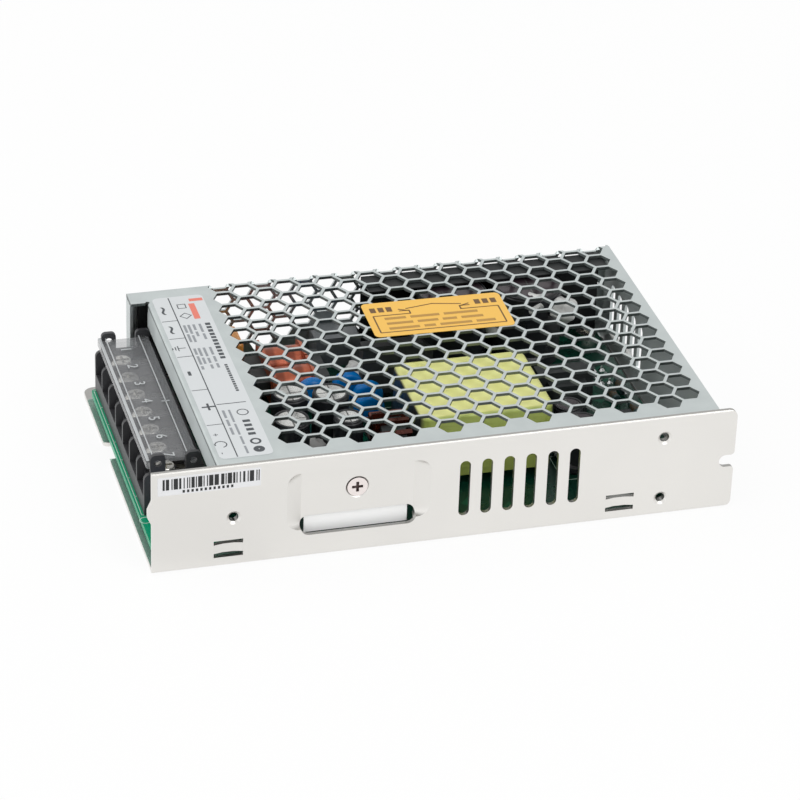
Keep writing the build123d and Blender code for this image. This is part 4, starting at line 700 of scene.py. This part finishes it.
# capacitor tops: bare aluminium with a pressed vent, ringed by the shrunk sleeve
canLook = {"lip": 0.85, "groove": 0.42, "raise": 0.1, "floor": 0.04, "taper": 0.05, "edge": 0.25,
           "sides": 32, "tube": 0.42, "tubeOut": 0.4, "tubeLift": 0.02, "tubeSides": 10, "tubeSteps": 36}
shape = bmesh.new()
darkShape = bmesh.new()
grooveShape = bmesh.new()
ringShape = bmesh.new()
for name in [n for n in nodes if "capacitor" in n and n.split("_")[0] in ("output", "bulk", "auxiliary")]:
    low, high = caseBox(name)
    centre = ((low.x + high.x) / 2, (low.y + high.y) / 2)
    radius = (high.x - low.x) / 2 - canLook["lip"]
    bmesh.ops.create_cone(grooveShape, cap_ends=True, segments=canLook["sides"], radius1=radius / 1000,
                          radius2=(radius - canLook["taper"]) / 1000, depth=canLook["floor"] / 1000,
                          matrix=Matrix.Translation(spot(*centre, high.z + canLook["floor"] / 2)))
    for quarter in range(4):
        addQuarter(shape if name.startswith("output") else darkShape, centre, radius - canLook["edge"],
                   high.z + canLook["floor"], quarter, canLook["groove"], canLook["raise"])
    place = Matrix.Translation(spot(*centre, high.z + canLook["tubeLift"]))
    outwards = Matrix.Translation(((radius + canLook["lip"] * canLook["tubeOut"]) / 1000, 0, 0))
    onEdge = Matrix.Rotation(math.radians(90), 4, "X")
    tube = bmesh.ops.create_circle(ringShape, segments=canLook["tubeSides"],
                                   radius=canLook["lip"] * canLook["tube"] / 1000,
                                   matrix=place @ outwards @ onEdge)["verts"]
    edges = list({edge for vert in tube for edge in vert.link_edges})
    bmesh.ops.spin(ringShape, geom=tube + edges, cent=spot(*centre, high.z), axis=(0, 0, 1),
                   angle=math.radians(360), steps=canLook["tubeSteps"], use_merge=True)
bmesh.ops.remove_doubles(ringShape, verts=ringShape.verts, dist=0.000002)
finishPiece("canTops", shape, "canTop", smooth=True)
finishPiece("darkCanTops", darkShape, "darkTop", smooth=True)
finishPiece("canVentGrooves", grooveShape, "canGroove", smooth=True)
finishPiece("sleeveRims", ringShape, "sleeve")
print("labels, lid and capacitor tops dressed")

# small parts on the board, seen through the mesh; resistor places are (x, y, turn)
boardTop = caseBox("circuit_board")[1].z
resistor = {
    "bodyRadius": 1.15, "bodyLength": 6.0, "endRadius": 1.3, "endLength": 1.3, "lift": 1.6, "sides": 16,
    "round": 0.18, "roundBelow": 0.7,
    "leadRadius": 0.3, "leadSides": 8, "leadStart": 0.9, "span": 10.0, "leadRise": 0.25, "leadSink": 0.1,
    "bands": 4, "bandFirst": -1.5, "bandStep": 0.9, "bandHalf": 0.2, "bandProud": 0.02,
    "places": ((146.5, 44.0, 90), (146.5, 57.0, 90), (143.0, 52.5, 90), (136.5, 58.5, 90),
               (133.0, 30.0, 90), (133.0, 16.0, 90), (121.0, 62.0, 0), (110.0, 57.0, 0),
               (143.0, 12.5, 0), (64.0, 52.5, 0), (48.0, 55.0, 0), (30.0, 30.0, 90), (36.5, 30.0, 90),
               (30.0, 45.5, 90), (38.0, 52.0, 90), (27.0, 17.5, 0), (60.5, 14.5, 0))}
bodies = bmesh.new()
leads = bmesh.new()
bands = bmesh.new()
for x, y, turn in resistor["places"]:
    along = Vector((math.cos(math.radians(turn)), math.sin(math.radians(turn))))
    height = boardTop + resistor["lift"]

    def at(step, z=height):
        return (x + along.x * step, y + along.y * step, z)

    half = resistor["bodyLength"] / 2
    addRod(bodies, at(-half), at(half), resistor["bodyRadius"], resistor["sides"])
    for side in (-1, 1):
        leadEnd = side * resistor["span"] / 2
        addRod(bodies, at(side * half), at(side * (half - resistor["endLength"])), resistor["endRadius"],
               resistor["sides"])
        for start, end in ((at(side * half * resistor["leadStart"]), at(leadEnd)),
                           (at(leadEnd, height + resistor["leadRise"]),
                            at(leadEnd, boardTop - resistor["leadSink"]))):
            addRod(leads, start, end, resistor["leadRadius"], resistor["leadSides"])
    for k in range(resistor["bands"]):
        step = resistor["bandFirst"] + resistor["bandStep"] * k
        addRod(bands, at(step - resistor["bandHalf"]), at(step + resistor["bandHalf"]),
               resistor["bodyRadius"] + resistor["bandProud"], resistor["sides"])
stepEdges = [edge for edge in bodies.edges if edge.calc_length() < resistor["roundBelow"] / 1000]
bmesh.ops.bevel(bodies, geom=stepEdges, offset=resistor["round"] / 1000, offset_type="OFFSET", segments=2,
                profile=0.5, affect="EDGES", material=-1)
finishPiece("resistorBodies", bodies, "resistor")
finishPiece("resistorLeads", leads, "solder")
finishPiece("resistorBands", bands, "brownInk")

# solder cones and clipped pins at the terminals and round the ports of the board
joint = {"radius": 1.0, "height": 0.7, "sides": 14, "pin": 0.35, "pinHeight": 1.3, "pinStart": 0.8,
         "pinSides": 10}
joint["places"] = [(22.6 + 2.6 * (k % 2), 24.0 + 5.2 * k) for k in range(13)]
joint["places"] += [(3.8 + 2.1 * k, 9.6) for k in range(2)]
joint["places"] += [(140.0 + 2.5 * (k % 3), 62.0 + 3.6 * (k // 3)) for k in range(9)]
shape = bmesh.new()
for x, y in joint["places"]:
    place = Matrix.Translation(spot(x, y, boardTop + joint["height"] / 2))
    bmesh.ops.create_cone(shape, cap_ends=True, segments=joint["sides"], radius1=joint["radius"] / 1000,
                          radius2=joint["pin"] / 1000, depth=joint["height"] / 1000, matrix=place)
    pinFoot = boardTop + joint["height"] * joint["pinStart"]
    addRod(shape, (x, y, pinFoot), (x, y, boardTop + joint["pinHeight"]), joint["pin"], joint["pinSides"])
finishPiece("solderJoints", shape, "solder")

# printed outlines on the board: a line with ticks along the terminal block, a ring round the adjuster's end
silk = {
    "width": 0.22, "thick": 0.02, "lift": 0.003, "line": {"x": 2.7, "y": 54.0, "length": 66.0},
    "ticks": {"count": 8, "x": 2.95, "first": 21.0, "step": 9.5, "length": 0.7},
    "ring": {"spot": (3.1, 18.3), "outer": 1.6, "inner": 1.35},
    "rules": {"x": 9.5, "y": (8.3, 18.6), "length": 11.0},
    "frames": ((141.0, 31.0, 10.6, 22.6), (127.0, 50.0, 18.6, 15.4), (122.5, 20.5, 12.4, 12.4),
               (84.0, 57.5, 9.0, 8.0), (94.0, 57.5, 9.0, 8.0))}
silkTop = boardTop + silk["thick"] / 2 + silk["lift"]


def silkBar(shape, x, y, width, length):
    addBar(shape, (x, y, silkTop), (width, length, silk["thick"]))


shape = bmesh.new()
silkBar(shape, silk["line"]["x"], silk["line"]["y"], silk["width"], silk["line"]["length"])
ticks = silk["ticks"]
for k in range(ticks["count"]):
    silkBar(shape, ticks["x"], ticks["first"] + ticks["step"] * k, ticks["length"], silk["width"])
ring = silk["ring"]
addRing(shape, ring["spot"], ring["outer"], ring["inner"], silkTop - silk["thick"] / 2, silk["thick"])
for y in silk["rules"]["y"]:
    silkBar(shape, silk["rules"]["x"], y, silk["rules"]["length"], silk["width"])
for x, y, wide, deep in silk["frames"]:
    for side in (-1, 1):
        silkBar(shape, x + side * wide / 2, y, silk["width"], deep)
        silkBar(shape, x, y + side * deep / 2, wide, silk["width"])
finishPiece("boardLegend", shape, "whiteInk", smooth=False)

# silicone dabs that hold the tall parts together
dabs = {
    "coarse": 2.2, "lump": 0.35, "rounds": 3,
    "places": ((125.6, 76.0, 24.9, 4.4, 3.4, 2.9), (133.8, 72.6, 24.0, 3.6, 3.0, 3.8),
               (144.6, 60.0, 21.0, 0.8, 4.2, 1.0), (146.2, 53.0, 20.0, 0.9, 4.0, 1.0),
               (115.0, 80.6, 20.0, 3.0, 4.0, 6.0), (74.6, 75.0, 8.6, 3.0, 4.4, 3.6),
               (119.0, 26.4, 9.0, 2.4, 3.0, 4.0), (53.2, 36.4, 9.0, 3.4, 2.6, 4.4))}
shape = bmesh.new()
for x, y, z, wide, deep, high in dabs["places"]:
    place = Matrix.Translation(spot(x, y, z)) @ Matrix.Diagonal((wide / 1000, deep / 1000, high / 1000, 1))
    lump = bmesh.ops.create_icosphere(shape, subdivisions=dabs["rounds"], radius=1.0, matrix=place)["verts"]
    for vert in lump:
        push = noise.noise(vert.co * 1000 / dabs["coarse"])
        vert.co += (vert.co - spot(x, y, z)) * dabs["lump"] * push
finishPiece("siliconeDabs", shape, "silicone")
print("board parts dressed")

# camera, fitted to the case's corners in the 800 by 800 photograph
cameraPlace = {"spotMm": (-231.17, -798.10, 497.62), "azimuth": -16.183, "elevation": 30.153, "roll": 2.087,
               "focalPx": 3528.98, "imagePx": 800, "sensor": 36.0, "clipStart": 0.05}
azimuth, elevation, roll = (math.radians(cameraPlace[k]) for k in ("azimuth", "elevation", "roll"))
back = Vector((math.sin(azimuth) * math.cos(elevation), -math.cos(azimuth) * math.cos(elevation),
               math.sin(elevation)))
right = Vector((0, 0, 1)).cross(back).normalized()
up = back.cross(right)
rightTurned = right * math.cos(roll) + up * math.sin(roll)
upTurned = up * math.cos(roll) - right * math.sin(roll)
cameraData = bpy.data.cameras.new("photoCamera")
cameraData.sensor_width = cameraPlace["sensor"]
cameraData.lens = cameraPlace["sensor"] * cameraPlace["focalPx"] / cameraPlace["imagePx"]
cameraData.clip_start = cameraPlace["clipStart"]
camera = bpy.data.objects.new("photoCamera", cameraData)
scene.collection.objects.link(camera)
turned = Matrix((rightTurned, upTurned, back)).transposed().to_4x4()
camera.matrix_world = Matrix.Translation(Vector(cameraPlace["spotMm"]) / 1000) @ turned
scene.camera = camera


def seenDirectly(tree):
    # 1 for the camera and for mirror and see-through rays, 0 for the light that falls on the object
    path = addNode(tree, "ShaderNodeLightPath")
    mirrored = addNode(tree, "ShaderNodeMath", {"operation": "MAXIMUM"}, None,
                       {0: path.outputs["Is Camera Ray"], 1: path.outputs["Is Glossy Ray"]})
    through = addNode(tree, "ShaderNodeMath", {"operation": "MAXIMUM"}, None,
                      {0: mirrored.outputs["Value"], 1: path.outputs["Is Transmission Ray"]})
    return through.outputs["Value"]


# lamps: size in m, energy in W, place in m
studio = {
    "world": 0.78, "worldColour": "#f4f5f6",
    "floor": "#ededeb", "floorRough": 0.9, "floorGlow": 0.9, "floorSize": 3.0, "floorGap": 0.0002,
    "lamps": (("keyLamp", 0.9, 8.0, (0.5, -1.1, 1.0)), ("fillLamp", 1.2, 2.5, (-1.2, -0.5, 0.8)),
              ("topLamp", 1.2, 4.0, (-0.6, 0.6, 1.3)), ("sideLamp", 0.7, 3.0, (-1.2, 0.25, 0.25)))}
scene.view_settings.view_transform = "Standard"
for name, size, energy, place in studio["lamps"]:
    lampData = bpy.data.lights.new(name, "AREA")
    lampData.size = size
    lampData.energy = energy
    lamp = bpy.data.objects.new(name, lampData)
    scene.collection.objects.link(lamp)
    aim = Vector(place).to_track_quat("Z", "Y").to_matrix().to_4x4()
    lamp.matrix_world = Matrix.Translation(place) @ aim

world = bpy.data.worlds.new("softStudio")
scene.world = world
world.use_nodes = True
tree = world.node_tree
plain = tree.nodes["Background"]
plain.inputs["Color"].default_value = toLinear(studio["worldColour"])
plain.inputs["Strength"].default_value = studio["world"]
seen = addNode(tree, "ShaderNodeBackground", None, {"Color": (1, 1, 1, 1), "Strength": 1.0})
blendSeen = addNode(tree, "ShaderNodeMixShader", None, None, {"Fac": seenDirectly(tree)})
tree.links.new(plain.outputs["Background"], blendSeen.inputs[1])
tree.links.new(seen.outputs["Background"], blendSeen.inputs[2])
tree.links.new(blendSeen.outputs["Shader"], tree.nodes["World Output"].inputs["Surface"])

floorShape = bmesh.new()
bmesh.ops.create_grid(floorShape, x_segments=1, y_segments=1, size=studio["floorSize"],
                      matrix=Matrix.Translation((0, 0, -studio["floorGap"])))
floorMesh = bpy.data.meshes.new("studioFloor")
floorShape.to_mesh(floorMesh)
floorShape.free()
floor = bpy.data.objects.new("studioFloor", floorMesh)
scene.collection.objects.link(floor)
floorLook = bpy.data.materials.new("paleStudioPaper")
floorLook.use_nodes = True
tree = floorLook.node_tree
shader = tree.nodes["Principled BSDF"]
shader.inputs["Base Color"].default_value = toLinear(studio["floor"])
shader.inputs["Roughness"].default_value = studio["floorRough"]
glow = addNode(tree, "ShaderNodeEmission", None, {"Color": (1, 1, 1, 1), "Strength": 1.0})
share = addNode(tree, "ShaderNodeMath", {"operation": "MULTIPLY"}, {1: studio["floorGlow"]},
                {0: seenDirectly(tree)})
mixed = addNode(tree, "ShaderNodeMixShader", None, None, {"Fac": share.outputs["Value"]})
tree.links.new(shader.outputs["BSDF"], mixed.inputs[1])
tree.links.new(glow.outputs["Emission"], mixed.inputs[2])
tree.links.new(mixed.outputs["Shader"], tree.nodes["Material Output"].inputs["Surface"])
floorMesh.materials.append(floorLook)
print("camera, lamps and floor placed")
